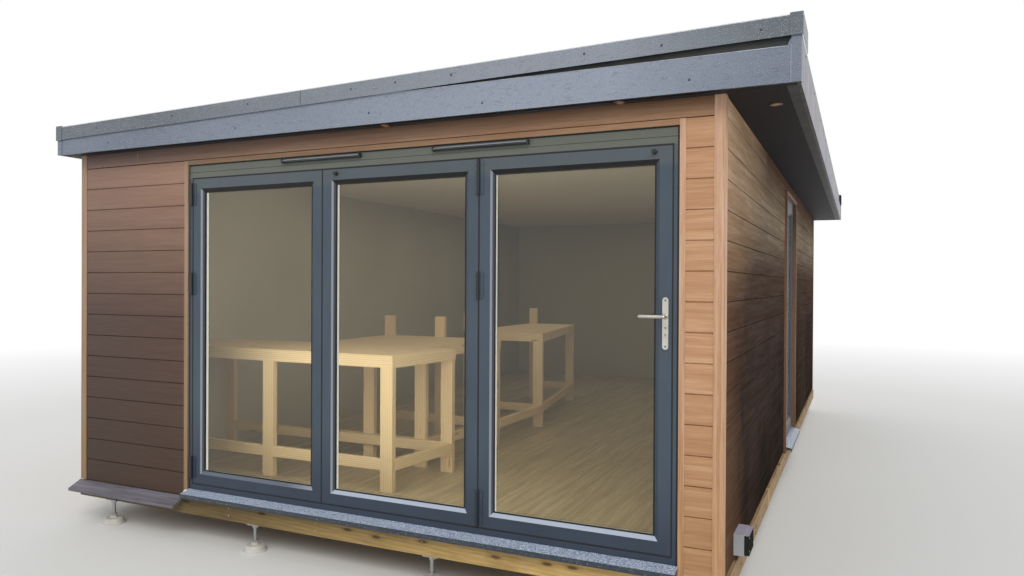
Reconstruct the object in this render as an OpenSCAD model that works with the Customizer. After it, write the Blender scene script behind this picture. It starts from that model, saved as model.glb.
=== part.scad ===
// Garden office pod. A timber floor frame stands on levelling feet and carries insulated wall
// panels with horizontal board cladding, a three-leaf folding door, a full-height side window and
// a flat roof with a fall. Three timber workbenches stand in the room.
// The origin is on the ground under the middle of the roof. +Z is up and the door faces -Y.

/* [Building] */
// Width of the building over its cladding
wall_w = 4200; // [4000:50:4800]
// Depth of the building over its cladding
wall_d = 7000; // [6400:50:7600]
// Height of the wall above the door
head_room = 128; // [110:2:200]
// Thickness of an insulated wall panel
panel_t = 100; // [80:5:130]
// Depth of the battens between panels and cladding
batten_t = 25; // [18:1:38]
// Width of a cladding batten
batten_w = 45; // [38:1:60]
// Largest spacing of the cladding battens
batten_pitch = 600; // [400:50:700]
// Thickness of the lining of walls and ceiling
lining_t = 12; // [9:1:18]

/* [Floor frame] */
// Height of the underside of the floor frame above the ground
base_gap = 158; // [120:2:240]
// Height of bearers and joists
joist_h = 100; // [90:5:150]
// Width of bearers and joists
joist_w = 47; // [38:1:60]
// Rows of bearers from front to rear
bearer_rows = 5; // [4:1:7]
// Largest spacing of the floor joists
joist_pitch = 400; // [300:50:600]
// Thickness of the floor deck
deck_t = 22; // [18:1:28]
// Thickness of the floor boards in the room
floor_t = 14; // [8:1:22]
// Gap round the floor boards
floor_gap = 4; // [2:1:10]
// How far the floor frame stands out past the side cladding
base_out = 12; // [4:1:20]

/* [Feet] */
// Number of feet in a row along the front
feet_across = 4; // [3:1:6]
// Distance of the outer feet from the building's corners
foot_inset = 285; // [150:5:400]
// Diameter of a foot pad
foot_d = 136; // [100:2:160]
// Height of a foot pad
foot_h = 52; // [40:1:70]
// Height of a foot pad's rim
foot_rim = 6; // [4:1:10]
// How far that rim stands out past the pad's side
foot_flare = 5; // [3:1:8]
// Radius of the shoulder round a pad's flat top
foot_round = 14; // [8:1:16]
// Diameter of a foot pad's hub
hub_d = 40; // [36:1:50]
// Height of that hub above the pad's flat top
hub_h = 12; // [8:1:14]
// Diameter of a foot's threaded rod
rod_d = 20; // [16:1:24]
// Width of a nut across its corners
nut_d = 34; // [30:1:44]
// Height of a nut
nut_h = 16; // [12:1:20]
// Side of the plate at the top of a rod
head_plate = 90; // [70:5:120]
// Thickness of that plate
head_plate_t = 6; // [4:1:10]

/* [Cladding] */
// Thickness of a cladding board
board_t = 20; // [16:1:24]
// Nominal cover of one cladding board
board_cover = 138; // [130:1:150]
// Height of the groove between two boards
groove_h = 4; // [3:0.5:6]
// Depth of that groove
groove_d = 8; // [4:0.5:12]
// Chamfer on the edges of a board
board_edge = 2; // [1:0.5:3]
// How far the cladding laps down past the top of the deck
clad_lap = 12; // [6:1:20]
// Width of a corner trim's face
corner_w = 50; // [40:1:70]
// Width of the trim beside the door
jamb_trim_w = 28; // [20:1:40]
// How far the trims stand out past the boards
trim_proud = 3; // [1:0.5:6]

/* [Door] */
// Width of the door frame
door_w = 3030; // [2700:10:3200]
// Height of the door frame
door_h = 2000; // [1900:5:2200]
// Depth of the door frame
door_d = 70; // [60:1:80]
// Distance from the building's right corner to the door frame
door_side = 200; // [150:5:300]
// How far the door frame is set back behind the cladding face
door_back = 10; // [4:1:20]
// Clear gap between the door frame and the wall panels
door_fit = 3; // [1:0.5:8]
// Face width of the frame's jambs
jamb_w = 28; // [24:1:50]
// Face height of the frame's head
head_h = 35; // [30:1:50]
// Height of the extension on the head that carries the vents
addon_h = 47; // [40:1:60]
// Face height of the frame's threshold
threshold_h = 33; // [25:1:45]
// Width and depth of the groove under the head extension
shadow_gap = 3; // [2:0.5:5]
// Clear gap round a leaf
leaf_gap = 6; // [3:0.5:8]
// Width of a leaf's flat outer face
sash_face = 60; // [50:1:70]
// Width of the bevel between that face and the glass
sash_bevel = 18; // [12:1:24]
// How far the glass is set back behind the leaf's face
glass_back = 18; // [12:1:22]
// Thickness of the glass unit
glass_t = 24; // [20:1:28]
// How far the glass reaches behind the bevel
glass_in = 14; // [10:1:16]
// How far the inner bead stays back from the leaf's inner face
bead_back = 6; // [3:1:10]
// Height of the sill under the door frame
sill_h = 30; // [26:1:40]
// How far the sill stands out from the door frame
sill_out = 70; // [50:5:95]
// Drop of the sill's top over that distance
sill_drop = 16; // [8:1:20]
// Height of the sill's front lip
sill_lip = 27; // [20:1:32]
// Thickness of that lip
sill_lip_t = 5; // [3:1:8]

/* [Door furniture] */
// Radius of a hinge knuckle
hinge_r = 8; // [6:0.5:10]
// Height of the middle hinges
hinge_h = 130; // [100:5:160]
// Height of the hinges at the top and bottom
hinge_long_h = 172; // [130:2:190]
// Height of the bottom hinges above the sill
hinge_low = 137; // [110:1:250]
// Distance of the middle hinges below the top of the door frame
hinge_mid = 732; // [650:1:900]
// Distance of the top hinges below the top of the door frame
hinge_top = 182; // [180:1:260]
// Width of one hinge flap
flap_w = 26; // [18:1:34]
// Thickness of a hinge flap
flap_t = 4; // [3:0.5:6]
// Width of the handle's backplate
plate_w = 28; // [24:1:36]
// Height of the handle's backplate
plate_h = 240; // [200:5:260]
// Thickness of the handle's backplate
plate_t = 10; // [6:1:14]
// Height of the middle of the backplate above the sill
plate_z = 1100; // [950:10:1200]
// Height of the lever above the middle of the backplate
lever_up = 32; // [20:2:60]
// Length of the lever from its spindle to its tip
lever_len = 118; // [100:2:140]
// Radius of the lever
lever_r = 9; // [7:0.5:11]
// Distance of the lock below the middle of the backplate
lock_drop = 52; // [40:2:70]
// Radius of the lock's rose
lock_r = 8; // [6:1:12]
// Distance of the lever from the backplate
lever_out = 44; // [36:1:56]
// Radius of a catch
catch_r = 13; // [10:0.5:16]
// Length of a catch
catch_len = 22; // [14:1:30]
// Distance of the catches below the top of the door frame
catch_drop = 114; // [110:1:150]
// Distances of the catches from the fold beside them
catch_in = [93, 83];
// Distances of the vents' right ends from the door frame's right edge
vent_ends = [743, 1744];
// Length of a vent canopy
vent_w = 545; // [400:5:600]
// Height of a vent canopy
vent_h = 20; // [14:1:26]
// Depth of a vent canopy
vent_d = 22; // [14:1:30]
// Width of a vent canopy's end cap
vent_cap = 8; // [5:1:12]

/* [Side window] */
// Distance of the side window behind the front of the building
side_back = 2950; // [2800:10:3300]
// Width of the side window's frame
side_w = 900; // [700:10:1200]
// How far its trims stand out past the boards
side_proud = 20; // [10:1:30]

/* [Workbenches] */
// Height of the bench tops above the floor boards
bench_h = 847; // [750:1:900]
// Thickness of a bench top
bench_top_t = 9; // [6:1:18]
// Height of the rails of a bench
bench_rail_h = 69; // [50:1:89]
// Width of a bench leg
bench_leg_w = 89; // [63:1:100]
// Thickness of the rails and legs
bench_t = 38; // [32:1:47]
// Height of the lower rails above the floor boards
bench_low = 132; // [80:2:300]
// Distance of the front bench behind the front of the building
bench_back = 520; // [350:5:700]
// Distance of its right side, at the front, from the door frame's right edge
bench_side = 1870; // [1700:5:2200]
// How far that side runs out to the right towards the back
bench_skew = 90; // [0:5:120]
// Depth of the front bench
bench_d = 640; // [500:10:900]
// Distance of the middle bench's right side, at the front, from the door frame's right edge
mid_bench_side = 2020; // [1900:5:2400]
// How far that side runs out to the right towards the back
mid_bench_skew = 130; // [0:5:150]
// Width of the middle bench at the front
mid_bench_w = 960; // [700:10:1100]
// Length of the middle bench
mid_bench_l = 950; // [700:10:1200]
// Clear distance between the middle and the rear bench
bench_space = 820; // [400:10:900]
// Distance of the rear bench's right side, at the front, from the door frame's right edge
rear_bench_side = 1860; // [1700:5:2200]
// How far that side runs in to the left towards the back
rear_bench_skew = 285; // [0:5:300]
// Width of the rear bench at the front
rear_bench_w = 810; // [600:10:1000]
// Length of the rear bench
rear_bench_l = 1610; // [1200:10:1700]
// How far some posts of those two rise above their tops
bench_post = 170; // [100:5:250]

/* [Roof] */
// Overhang of the roof at the front
over_front = 100; // [90:5:200]
// Overhang of the roof at the rear
over_rear = 100; // [90:5:200]
// Overhang of the roof at the left
over_left = 100; // [90:5:200]
// Overhang of the roof at the right
over_right = 315; // [200:5:450]
// Height of the roof structure at its low left edge
roof_low = 152; // [140:2:180]
// Rise of the roof from left to right
roof_fall = 95; // [60:5:140]
// Thickness of the roof membrane
membrane_t = 4; // [2:0.5:6]
// Height of the soffit boards
soffit_t = 10; // [8:1:15]
// Width of the vent strip beside the wall
vent_strip_w = 42; // [30:1:60]
// Gap at the ends of boards that butt together
butt_gap = 2; // [1:0.5:4]
// Thickness of a fascia board
fascia_t = 15; // [12:1:20]
// Height of a fascia board
fascia_h = 152; // [140:2:170]
// How far the fascia hangs below the soffit
fascia_drop = 3; // [1:1:10]
// Thickness of the boards behind the fascia
backing_t = 45; // [38:1:60]
// Face width of a fascia corner post
post_w = 40; // [30:1:55]
// How far a corner post stands out past the fascia
post_proud = 3; // [1:0.5:4]
// Width and height of the filler beside the post
ear = [16, 28];
// Height of the roof edge trim's face
edge_h = 88; // [80:1:110]
// Thickness of that face
edge_t = 3; // [2:0.5:4]
// How far the edge trim stands out past the fascia
edge_out = 8; // [6:0.5:12]
// Height of the trim's kerb above the membrane
kerb_h = 17; // [12:1:24]
// Radius of the trim's upper edge
nose_r = 6; // [4:0.5:7]
// Width of the trim's flange on the roof
flange_w = 60; // [45:1:80]
// Height of the batten behind the trim
drip_h = 28; // [20:1:34]
// Lap of the edge trim over a fascia that runs up behind it
fascia_lap = 26; // [10:1:30]
// Length of a corner cap along each side
cap_w = 50; // [40:1:70]
// Length of a right corner cap along the high side
cap_leg = 300; // [100:10:400]
// Thickness of a corner cap
cap_t = 2; // [1.5:0.5:3]

/* [Fittings] */
// Radius of a soffit light
light_r = 30; // [24:1:40]
// Height of a soffit light's bezel
light_h = 5; // [3:1:8]
// Distances of the front soffit lights from the door frame's right edge
front_lights = [272, 1560];
// Width of a soffit light's rim
light_rim = 12; // [8:1:16]
// Bevel on that rim
light_edge = 3; // [2:0.5:4]
// Clear distance of the front lights from the wall
light_gap = 2; // [1:1:10]
// Distance of the side soffit light behind the door frame's face
side_light = 277; // [200:10:600]
// Distance of the side soffit light from the wall
side_light_out = 182; // [100:2:250]
// Size of the electrical box on the right wall: out from the wall, along it, and high
box_size = [48, 170, 102];
// Distance of the box behind the front of the building
box_back = 312; // [100:2:900]
// Height of the box's underside above the boards' lower edge
box_up = 26; // [24:1:200]
// How far the box's cover stands out
cover_t = 24; // [15:1:40]
// Margin round that cover
cover_in = 4; // [3:1:8]
// Radius of the cable gland under the box
gland_r = 12; // [8:1:16]
// Length of that gland
gland_l = 20; // [12:1:22]
// Slope of the ledge under the front cladding
ledge_slope = 26; // [15:1:35]
// Width of that ledge
ledge_w = 98; // [70:2:120]
// Thickness of that ledge
ledge_t = 16; // [12:1:22]

/* [Hidden] */
$fn = 48;

// Plan of the eaves and of the walls
eave_w = wall_w + over_left + over_right;
eave_d = wall_d + over_front + over_rear;
eave_x0 = -eave_w / 2;
eave_x1 = eave_w / 2;
eave_y0 = -eave_d / 2;
eave_y1 = eave_d / 2;
wall_x0 = eave_x0 + over_left;
wall_x1 = eave_x1 - over_right;
wall_y0 = eave_y0 + over_front;
wall_y1 = eave_y1 - over_rear;

// Plan of the panels and of the room
panel_in = board_t + batten_t;
panel_x0 = wall_x0 + panel_in;
panel_x1 = wall_x1 - panel_in;
panel_y0 = wall_y0 + panel_in;
panel_y1 = wall_y1 - panel_in;
core_x0 = panel_x0 + panel_t;
core_x1 = panel_x1 - panel_t;
core_y0 = panel_y0 + panel_t;
core_y1 = panel_y1 - panel_t;

// Levels
frame_top = base_gap + joist_h;
deck_z = frame_top + deck_t;
sill_z = deck_z + sill_h;
door_top = sill_z + door_h;
roof_z = door_top + head_room;
soffit_z = roof_z - soffit_t;
ceiling_z = roof_z - lining_t;
clad_z = deck_z - clad_lap;
header_z = door_top + jamb_trim_w;
boards_below = round((header_z - clad_z) / board_cover);
board_pitch = (header_z - clad_z) / boards_below;
fascia_z0 = soffit_z - fascia_drop;
fascia_z1 = fascia_z0 + fascia_h;

// Slope of the roof
roof_a = atan(roof_fall / eave_w);
function deck_top(x) = roof_z + roof_low + (x - eave_x0) * roof_fall / eave_w;
function edge_top(x) = deck_top(x) + membrane_t + kerb_h;
function edge_bottom(x) = edge_top(x) - edge_h;

// Plan of the door
leaves = 3;
door_x1 = wall_x1 - door_side;
door_x0 = door_x1 - door_w;
door_y = wall_y0 + door_back;
leaf_z0 = sill_z + threshold_h + leaf_gap;
leaf_z1 = door_top - head_h - addon_h - leaf_gap;
leaf_h = leaf_z1 - leaf_z0;
leaf_pitch = (door_w - 2 * jamb_w - leaf_gap) / leaves;
leaf_w = leaf_pitch - leaf_gap;
sight_w = sash_face + sash_bevel;
pane_in = sight_w - glass_in;
function leaf_x(i) = door_x0 + jamb_w + leaf_gap + i * leaf_pitch;

// Place of the side window along the right wall
side_y0 = wall_y0 + side_back;
side_y1 = side_y0 + side_w;

// Where the benches start, one behind the other
bench_y0 = wall_y0 + bench_back;
mid_bench_y0 = bench_y0 + bench_d + butt_gap;
rear_bench_y0 = mid_bench_y0 + mid_bench_l + bench_space;

clad_in = corner_w - trim_proud;
base_x0 = wall_x0 - base_out;
base_x1 = wall_x1 + base_out;
overlap = 1;

// A prism on an outline in X and Z, from y0 to y0 + depth
module xz_prism(y0, depth, outline) {
    translate([0, y0 + depth, 0]) rotate([90, 0, 0]) linear_extrude(depth) polygon(outline);
}

// A bar along X from x0, on a section in Y and Z
module yz_bar(x0, length, section) {
    translate([x0, 0, 0]) rotate([90, 0, 90]) linear_extrude(length) polygon(section);
}

// A box between two corners
module slab(z, t, outline) {
    translate([0, 0, z]) linear_extrude(t) polygon(outline);
}

module block(low, high) {
    translate(low) cube(high - low);
}

// Puts a wall drawn along X, with its cladding face at y = 0, at the front, right, left or rear
module on_front() {
    translate([0, wall_y0, 0]) children();
}

module on_right() {
    translate([wall_x1, 0, 0]) rotate([0, 0, 90]) children();
}

module on_left() {
    translate([wall_x0, 0, 0]) rotate([0, 0, -90]) children();
}

module on_rear() {
    translate([0, wall_y1, 0]) rotate([0, 0, 180]) children();
}

// Places of feet and bearers
function spread(from, to, count) = [for (i = [0 : count - 1]) from + i * (to - from) / (count - 1)];
foot_xs = spread(wall_x0 + foot_inset, wall_x1 - foot_inset, feet_across);
bearer_ys = spread(wall_y0, wall_y1 - joist_w, bearer_rows);

module at_feet() {
    for (x = foot_xs, y = bearer_ys) translate([x, y + joist_w / 2, 0]) children();
}

module levelling_feet() {
    pad_r = foot_d / 2;
    hub_r = hub_d / 2;
    deck = foot_h - hub_h;
    color("gainsboro") at_feet() rotate_extrude() polygon([
        [0, 0], [pad_r, 0], [pad_r, foot_rim], [pad_r - foot_flare, foot_rim + 4],
        for (a = [0 : 18 : 90]) [
            pad_r - foot_flare - 4 + foot_round * (cos(a) - 1), deck + foot_round * (sin(a) - 1)
        ],
        [hub_r + 3, deck], [hub_r, deck + 3], [hub_r, foot_h - 2], [hub_r - 2, foot_h], [0, foot_h]
    ]);
}

module foot_screws() {
    color("silver") at_feet() {
        translate([0, 0, foot_h]) cylinder(h = base_gap - foot_h - overlap, d = rod_d);
        translate([0, 0, foot_h]) cylinder(h = nut_h, d = nut_d, $fn = 6);
        translate([0, 0, base_gap - head_plate_t - nut_h]) cylinder(h = nut_h + overlap, d = nut_d, $fn = 6);
        translate([-head_plate / 2, -joist_w / 2, base_gap - head_plate_t])
            cube([head_plate, joist_w, head_plate_t]);
    }
}

module bearer(y) {
    color("khaki") block([base_x0, y, base_gap], [base_x1, y + joist_w, frame_top]);
}

// One bearer in each row between the front and the rear one
module middle_bearer() {
    for (i = [1 : bearer_rows - 2]) bearer(bearer_ys[i]);
}

module side_bearers() {
    for (x = [base_x0, base_x1 - joist_w], i = [0 : bearer_rows - 2])
        color("khaki")
            block([x, bearer_ys[i] + joist_w, base_gap], [x + joist_w, bearer_ys[i + 1], frame_top]);
}

module floor_joists() {
    first = base_x0 + joist_w;
    last = base_x1 - joist_w;
    bays = ceil((last - first) / joist_pitch);
    step = (last - first) / bays;
    for (k = [1 : bays - 1], i = [0 : bearer_rows - 2]) {
        x = first + k * step - joist_w / 2;
        color("burlywood")
            block([x, bearer_ys[i] + joist_w, base_gap], [x + joist_w, bearer_ys[i + 1], frame_top]);
    }
}

module floor_deck() {
    color("tan") block(
        [wall_x0 + board_t, wall_y0 + board_t, frame_top],
        [wall_x1 - board_t, wall_y1 - board_t, deck_z]
    );
}

module floor_boards() {
    in = lining_t + floor_gap;
    color("wheat") block(
        [core_x0 + in, core_y0 + in, deck_z], [core_x1 - in, core_y1 - in, deck_z + floor_t]
    );
}

// Upright battens along X on a face at y, from x0 to x1
module batten_row(x0, x1, z0) {
    bays = max(1, ceil((x1 - x0 - batten_w) / batten_pitch));
    step = (x1 - x0 - batten_w) / bays;
    for (i = [0 : bays]) translate([x0 + i * step, -batten_t, z0])
        cube([batten_w, batten_t + overlap, soffit_z - z0]);
}

// A stretch of panel along X with its battens, its outer face at y = 0
module panel(x0, x1, z0) {
    block([x0, 0, z0], [x1, panel_t, roof_z]);
    batten_row(x0, x1, z0);
}

module front_wall_left() {
    color("peru") translate([0, panel_y0, 0]) panel(panel_x0, door_x0 - door_fit, deck_z);
}

module front_wall_right() {
    color("peru") translate([0, panel_y0, 0]) panel(door_x1 + door_fit, panel_x1, deck_z);
}

module front_wall_head() {
    color("peru") translate([0, panel_y0, 0])
        panel(door_x0 - door_fit, door_x1 + door_fit, door_top + door_fit);
}

module left_wall() {
    color("peru") translate([panel_x0, 0, 0]) rotate([0, 0, -90]) panel(-core_y1, -core_y0, deck_z);
}

module right_wall() {
    color("peru") translate([panel_x1, 0, 0]) rotate([0, 0, 90]) {
        panel(core_y0, side_y0 - door_fit, deck_z);
        panel(side_y1 + door_fit, core_y1, deck_z);
        panel(side_y0 - door_fit, side_y1 + door_fit, door_top + door_fit);
    }
}

module rear_wall() {
    color("peru") translate([0, panel_y1, 0]) rotate([0, 0, 180]) panel(-panel_x1, -panel_x0, deck_z);
}

// The lining round an opening, from x0 to x1 along a wall whose cladding face is at y = 0
reveal_y0 = door_back + door_d;
reveal_y1 = panel_in + panel_t;
module reveal(x0, x1) {
    block([x0 - door_fit, reveal_y0, deck_z], [x1 + door_fit, reveal_y1 + overlap, door_top + door_fit]);
}

module reveal_cut(x0, x1) {
    in = lining_t - door_fit;
    block(
        [x0 + in, reveal_y0 - overlap, deck_z - overlap],
        [x1 - in, reveal_y1 + lining_t + overlap, door_top - in]
    );
}

module wall_lining() {
    color("ivory") difference() {
        union() {
            difference() {
                block([core_x0, core_y0, deck_z], [core_x1, core_y1, ceiling_z]);
                block(
                    [core_x0 + lining_t, core_y0 + lining_t, deck_z - overlap],
                    [core_x1 - lining_t, core_y1 - lining_t, ceiling_z + overlap]
                );
            }
            on_front() reveal(door_x0, door_x1);
            on_right() reveal(side_y0, side_y1);
        }
        on_front() reveal_cut(door_x0, door_x1);
        on_right() reveal_cut(side_y0, side_y1);
    }
}

module ceiling() {
    color("white") block([core_x0, core_y0, ceiling_z], [core_x1, core_y1, roof_z]);
}

// Outline of the boards in depth and height from z0 to z1, with a groove at each joint
function groove(z) = [
    [0, z - groove_h / 2 - board_edge], [board_edge, z - groove_h / 2], [groove_d, z - groove_h / 2],
    [groove_d, z + groove_h / 2], [board_edge, z + groove_h / 2], [0, z + groove_h / 2 + board_edge]
];
function board_outline(z0, z1) = [
    [board_t, z0], [board_edge, z0], [0, z0 + board_edge],
    for (i = [1 : 40])
        let (z = clad_z + i * board_pitch)
        if (z - groove_h > z0 && z + groove_h < z1) each groove(z),
    [0, z1 - board_edge], [board_edge, z1], [board_t, z1]
];

// Cladding along X from x0 to x1 with its face at y = 0
module boards(x0, x1, z0 = clad_z, z1 = soffit_z) {
    color("sienna") yz_bar(x0, x1 - x0, board_outline(z0, z1));
}

module front_cladding_left() {
    on_front() boards(wall_x0 + clad_in, door_x0 - jamb_trim_w, clad_z, header_z - groove_h / 2);
}

module front_cladding_right() {
    on_front() boards(door_x1 + jamb_trim_w, wall_x1 - clad_in, clad_z, header_z - groove_h / 2);
}

module front_cladding_head() {
    on_front() boards(wall_x0 + clad_in, wall_x1 - clad_in, header_z + groove_h / 2);
}

module left_cladding() {
    on_left() boards(-wall_y1 + clad_in, -wall_y0 - clad_in);
}

module right_cladding() {
    on_right() {
        boards(wall_y0 + clad_in, side_y0 - jamb_trim_w);
        boards(side_y1 + jamb_trim_w, wall_y1 - clad_in);
        boards(side_y0 - jamb_trim_w - overlap, side_y1 + jamb_trim_w + overlap, header_z + groove_h / 2);
    }
}

module rear_cladding() {
    on_rear() boards(-wall_x1 + clad_in, -wall_x0 - clad_in);
}

// The plan of an angle at a corner, from its outer faces at -proud to the leg's length
module angle_plan(proud, thick, leg) {
    difference() {
        translate([-proud, -proud]) square(leg);
        translate([thick - proud, thick - proud]) square(leg);
    }
}

// Children at the four corners of a plan, mirrored so that both legs run along it
module at_corners(x0, x1, y0, y1) {
    translate([x0, y0, 0]) children();
    translate([x1, y0, 0]) mirror([1, 0, 0]) children();
    translate([x0, y1, 0]) mirror([0, 1, 0]) children();
    translate([x1, y1, 0]) mirror([1, 0, 0]) mirror([0, 1, 0]) children();
}

module corner_trims() {
    color("tan") at_corners(wall_x0, wall_x1, wall_y0, wall_y1)
        translate([0, 0, clad_z]) linear_extrude(soffit_z - clad_z)
            angle_plan(trim_proud, board_t + trim_proud, corner_w);
}

// Trims beside and over an opening from x0 to x1
module opening_trim(x0, x1, proud) {
    top = header_z - groove_h / 2;
    color("tan") {
        block([x0 - jamb_trim_w, -proud, clad_z], [x0, board_t, top]);
        block([x1, -proud, clad_z], [x1 + jamb_trim_w, board_t, top]);
        block([x0 - overlap, -proud, door_top], [x1 + overlap, board_t, top]);
    }
}

module door_trim() {
    on_front() opening_trim(door_x0, door_x1, trim_proud);
}

module side_trims() {
    on_right() opening_trim(side_y0, side_y1, side_proud);
}

// A sloped board that throws water off, under the cladding left of the door
module base_ledge() {
    run = ledge_w * cos(ledge_slope);
    fall = ledge_w * sin(ledge_slope);
    top = clad_z - 4;
    y = wall_y0;
    color("gray") yz_bar(base_x0, door_x0 - base_x0 - jamb_trim_w, [
        [y, top], [y - run, top - fall], [y - run, top - fall - ledge_t], [y, top - ledge_t]
    ]);
}

module roof_structure() {
    x0 = eave_x0 + fascia_t + backing_t;
    x1 = eave_x1 - fascia_t - backing_t;
    y0 = eave_y0 + fascia_t + backing_t;
    color("burlywood") xz_prism(y0, -2 * y0, [
        [x0, roof_z], [x1, roof_z], [x1, deck_top(x1)], [x0, deck_top(x0)]
    ]);
}

module roof_membrane() {
    x0 = -edge_x + edge_t;
    x1 = high_edge_x - edge_t;
    y0 = -edge_y + edge_t;
    color("dimgray") xz_prism(y0, -2 * y0, [
        [x0, deck_top(x0)], [x1, deck_top(x1)],
        [x1, deck_top(x1) + membrane_t], [x0, deck_top(x0) + membrane_t]
    ]);
}

// Section of the roof edge trim, outer face at 0 and top at 0
module edge_section() {
    translate([0, -edge_h]) square([edge_t, edge_h - nose_r]);
    translate([nose_r, -nose_r]) circle(nose_r, $fn = 24);
    polygon([
        [edge_t, -kerb_h], [edge_t, -nose_r], [nose_r, 0], [nose_r + 6, 0],
        [flange_w, edge_t - kerb_h], [flange_w, -kerb_h]
    ]);
}

// A length of edge trim along X, its outer face towards -Y
module edge_bar(length) {
    rotate([90, 0, 90]) linear_extrude(length) edge_section();
}

edge_x = eave_x1 + edge_out;
edge_y = eave_y1 + edge_out;
high_edge_x = eave_x1 - fascia_t + edge_t;
end_gap = 3;

module sloped_edge() {
    translate([-edge_x, -edge_y, edge_top(-edge_x)]) rotate([0, -roof_a, 0])
        translate([end_gap, 0, 0]) edge_bar(2 * edge_x / cos(roof_a) - 2 * end_gap);
}

// Edge trim along a side; x is its outer face, and top the roof's x that its top is level with
module level_edge(x, top) {
    half = edge_y - flange_w - end_gap;
    translate([0, 0, edge_top(top)]) rotate([0, 0, 90])
        translate([-half, -x, 0]) edge_bar(2 * half);
}

module roof_edge_trims() {
    color("slategray") {
        sloped_edge();
        mirror([0, 1, 0]) sloped_edge();
        level_edge(high_edge_x, high_edge_x);
        mirror([1, 0, 0]) level_edge(edge_x, flange_w - edge_x);
    }
}

module corner_cap(top, leg) {
    translate([0, 0, top - edge_h - cap_t]) difference() {
        translate([-cap_t, -cap_t, 0]) cube([cap_w + cap_t, leg + cap_t, edge_h + 3 * cap_t]);
        translate([0, 0, -overlap]) cube([cap_w + overlap, leg + overlap, edge_h + 2 * cap_t + overlap]);
    }
}

module roof_corner_caps() {
    color("slategray") for (side = [-1, 1], front = [0, 1])
        mirror([0, front, 0]) mirror([side > 0 ? 1 : 0, 0, 0])
            translate([-edge_x, -edge_y, 0])
                corner_cap(edge_top(side * edge_x), side > 0 ? cap_leg : cap_w);
}

// A board whose top follows the roof
module under_roof(x0, x1, y0, y1, bottom) {
    xz_prism(y0, y1 - y0, [[x0, bottom], [x1, bottom], [x1, deck_top(x1)], [x0, deck_top(x0)]]);
}

// A batten of the trim's height that follows the roof
module drip_batten(x0, x1, y0, y1) {
    xz_prism(y0, y1 - y0, [
        [x0, deck_top(x0) - drip_h], [x1, deck_top(x1) - drip_h], [x1, deck_top(x1)], [x0, deck_top(x0)]
    ]);
}

module fascia_backing() {
    out = edge_out - edge_t;
    mid = fascia_t;
    in = fascia_t + backing_t;
    color("dimgray") {
        for (f = [0, 1]) mirror([0, f, 0]) {
            under_roof(eave_x0 + mid, eave_x1 - mid, eave_y0 + mid, eave_y0 + in, roof_z);
            drip_batten(eave_x0 - out, eave_x1 + out, eave_y0 - out, eave_y0 + mid + overlap);
        }
        y0 = eave_y0 + in + butt_gap;
        under_roof(eave_x0 + mid, eave_x0 + in, y0, -y0, soffit_z);
        drip_batten(eave_x0 - out, eave_x0 + mid + overlap, y0, -y0);
        under_roof(eave_x1 - in, eave_x1 - mid, y0, -y0, soffit_z);
    }
}

// Front fascia: level, cut to the slope where it runs up behind the edge trim
module front_fascia() {
    x0 = eave_x0 + post_w - post_proud;
    x1 = eave_x1 - post_w + post_proud;
    lap_top = edge_bottom(x0) + fascia_lap;
    meet = x0 + (fascia_z1 - lap_top) * eave_w / roof_fall;
    color("slategray") xz_prism(eave_y0, fascia_t, [
        [x0, fascia_z0], [x1, fascia_z0], [x1, fascia_z1 + ear.y], [x1 - 4, fascia_z1 + ear.y],
        [x1 - ear.x, fascia_z1], [meet, fascia_z1], [x0, lap_top]
    ]);
}

module rear_fascia() {
    x0 = eave_x0 + post_w - post_proud;
    x1 = eave_x1 - post_w + post_proud;
    lap_top = edge_bottom(x0) + fascia_lap;
    meet = x0 + (fascia_z1 - lap_top) * eave_w / roof_fall;
    color("slategray") xz_prism(eave_y1 - fascia_t, fascia_t, [
        [x0, fascia_z0], [x1, fascia_z0], [x1, fascia_z1], [meet, fascia_z1], [x0, lap_top]
    ]);
}

module side_fascia(x, top) {
    y0 = eave_y0 + post_w - post_proud;
    color("slategray") block([x, y0, fascia_z0], [x + fascia_t, -y0, top]);
}

module left_fascia() {
    side_fascia(eave_x0, min(fascia_z1, edge_bottom(eave_x0) + fascia_lap));
}

module right_fascia() {
    side_fascia(eave_x1 - fascia_t, fascia_z1);
}

module fascia_corner_posts() {
    for (side = [-1, 1], front = [0, 1]) {
        low_x = side > 0 ? eave_x1 - post_w : eave_x0 - edge_out;
        color("slategray") mirror([0, front, 0]) mirror([side > 0 ? 1 : 0, 0, 0])
            translate([eave_x0, eave_y0, fascia_z0])
                linear_extrude(deck_top(low_x) - drip_h - fascia_z0)
                    angle_plan(post_proud, fascia_t + post_proud, post_w);
    }
}

module soffit_boards() {
    in = fascia_t;
    side_in = fascia_t + backing_t;
    color("black") {
        block([eave_x0 + in, eave_y0 + in, soffit_z], [eave_x1 - in, wall_y0 - vent_strip_w, roof_z]);
        block([eave_x0 + side_in, panel_y1, soffit_z], [eave_x1 - side_in, eave_y1 - in, roof_z]);
        front_y = wall_y0 - vent_strip_w + butt_gap;
        y0 = panel_y0 + butt_gap;
        y1 = panel_y1 - butt_gap;
        for (x = [
            [panel_x0, wall_x0 - butt_gap, eave_x0 + side_in],
            [panel_x1, wall_x1 + butt_gap, eave_x1 - side_in]
        ])
            slab(soffit_z, roof_z - soffit_z, [
                [x[0], y0], [x[1], y0], [x[1], front_y], [x[2], front_y], [x[2], y1], [x[0], y1]
            ]);
    }
}

module soffit_vent() {
    color("dimgray") block(
        [wall_x0, wall_y0 - vent_strip_w, soffit_z], [wall_x1, panel_y0, roof_z]
    );
}

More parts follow.
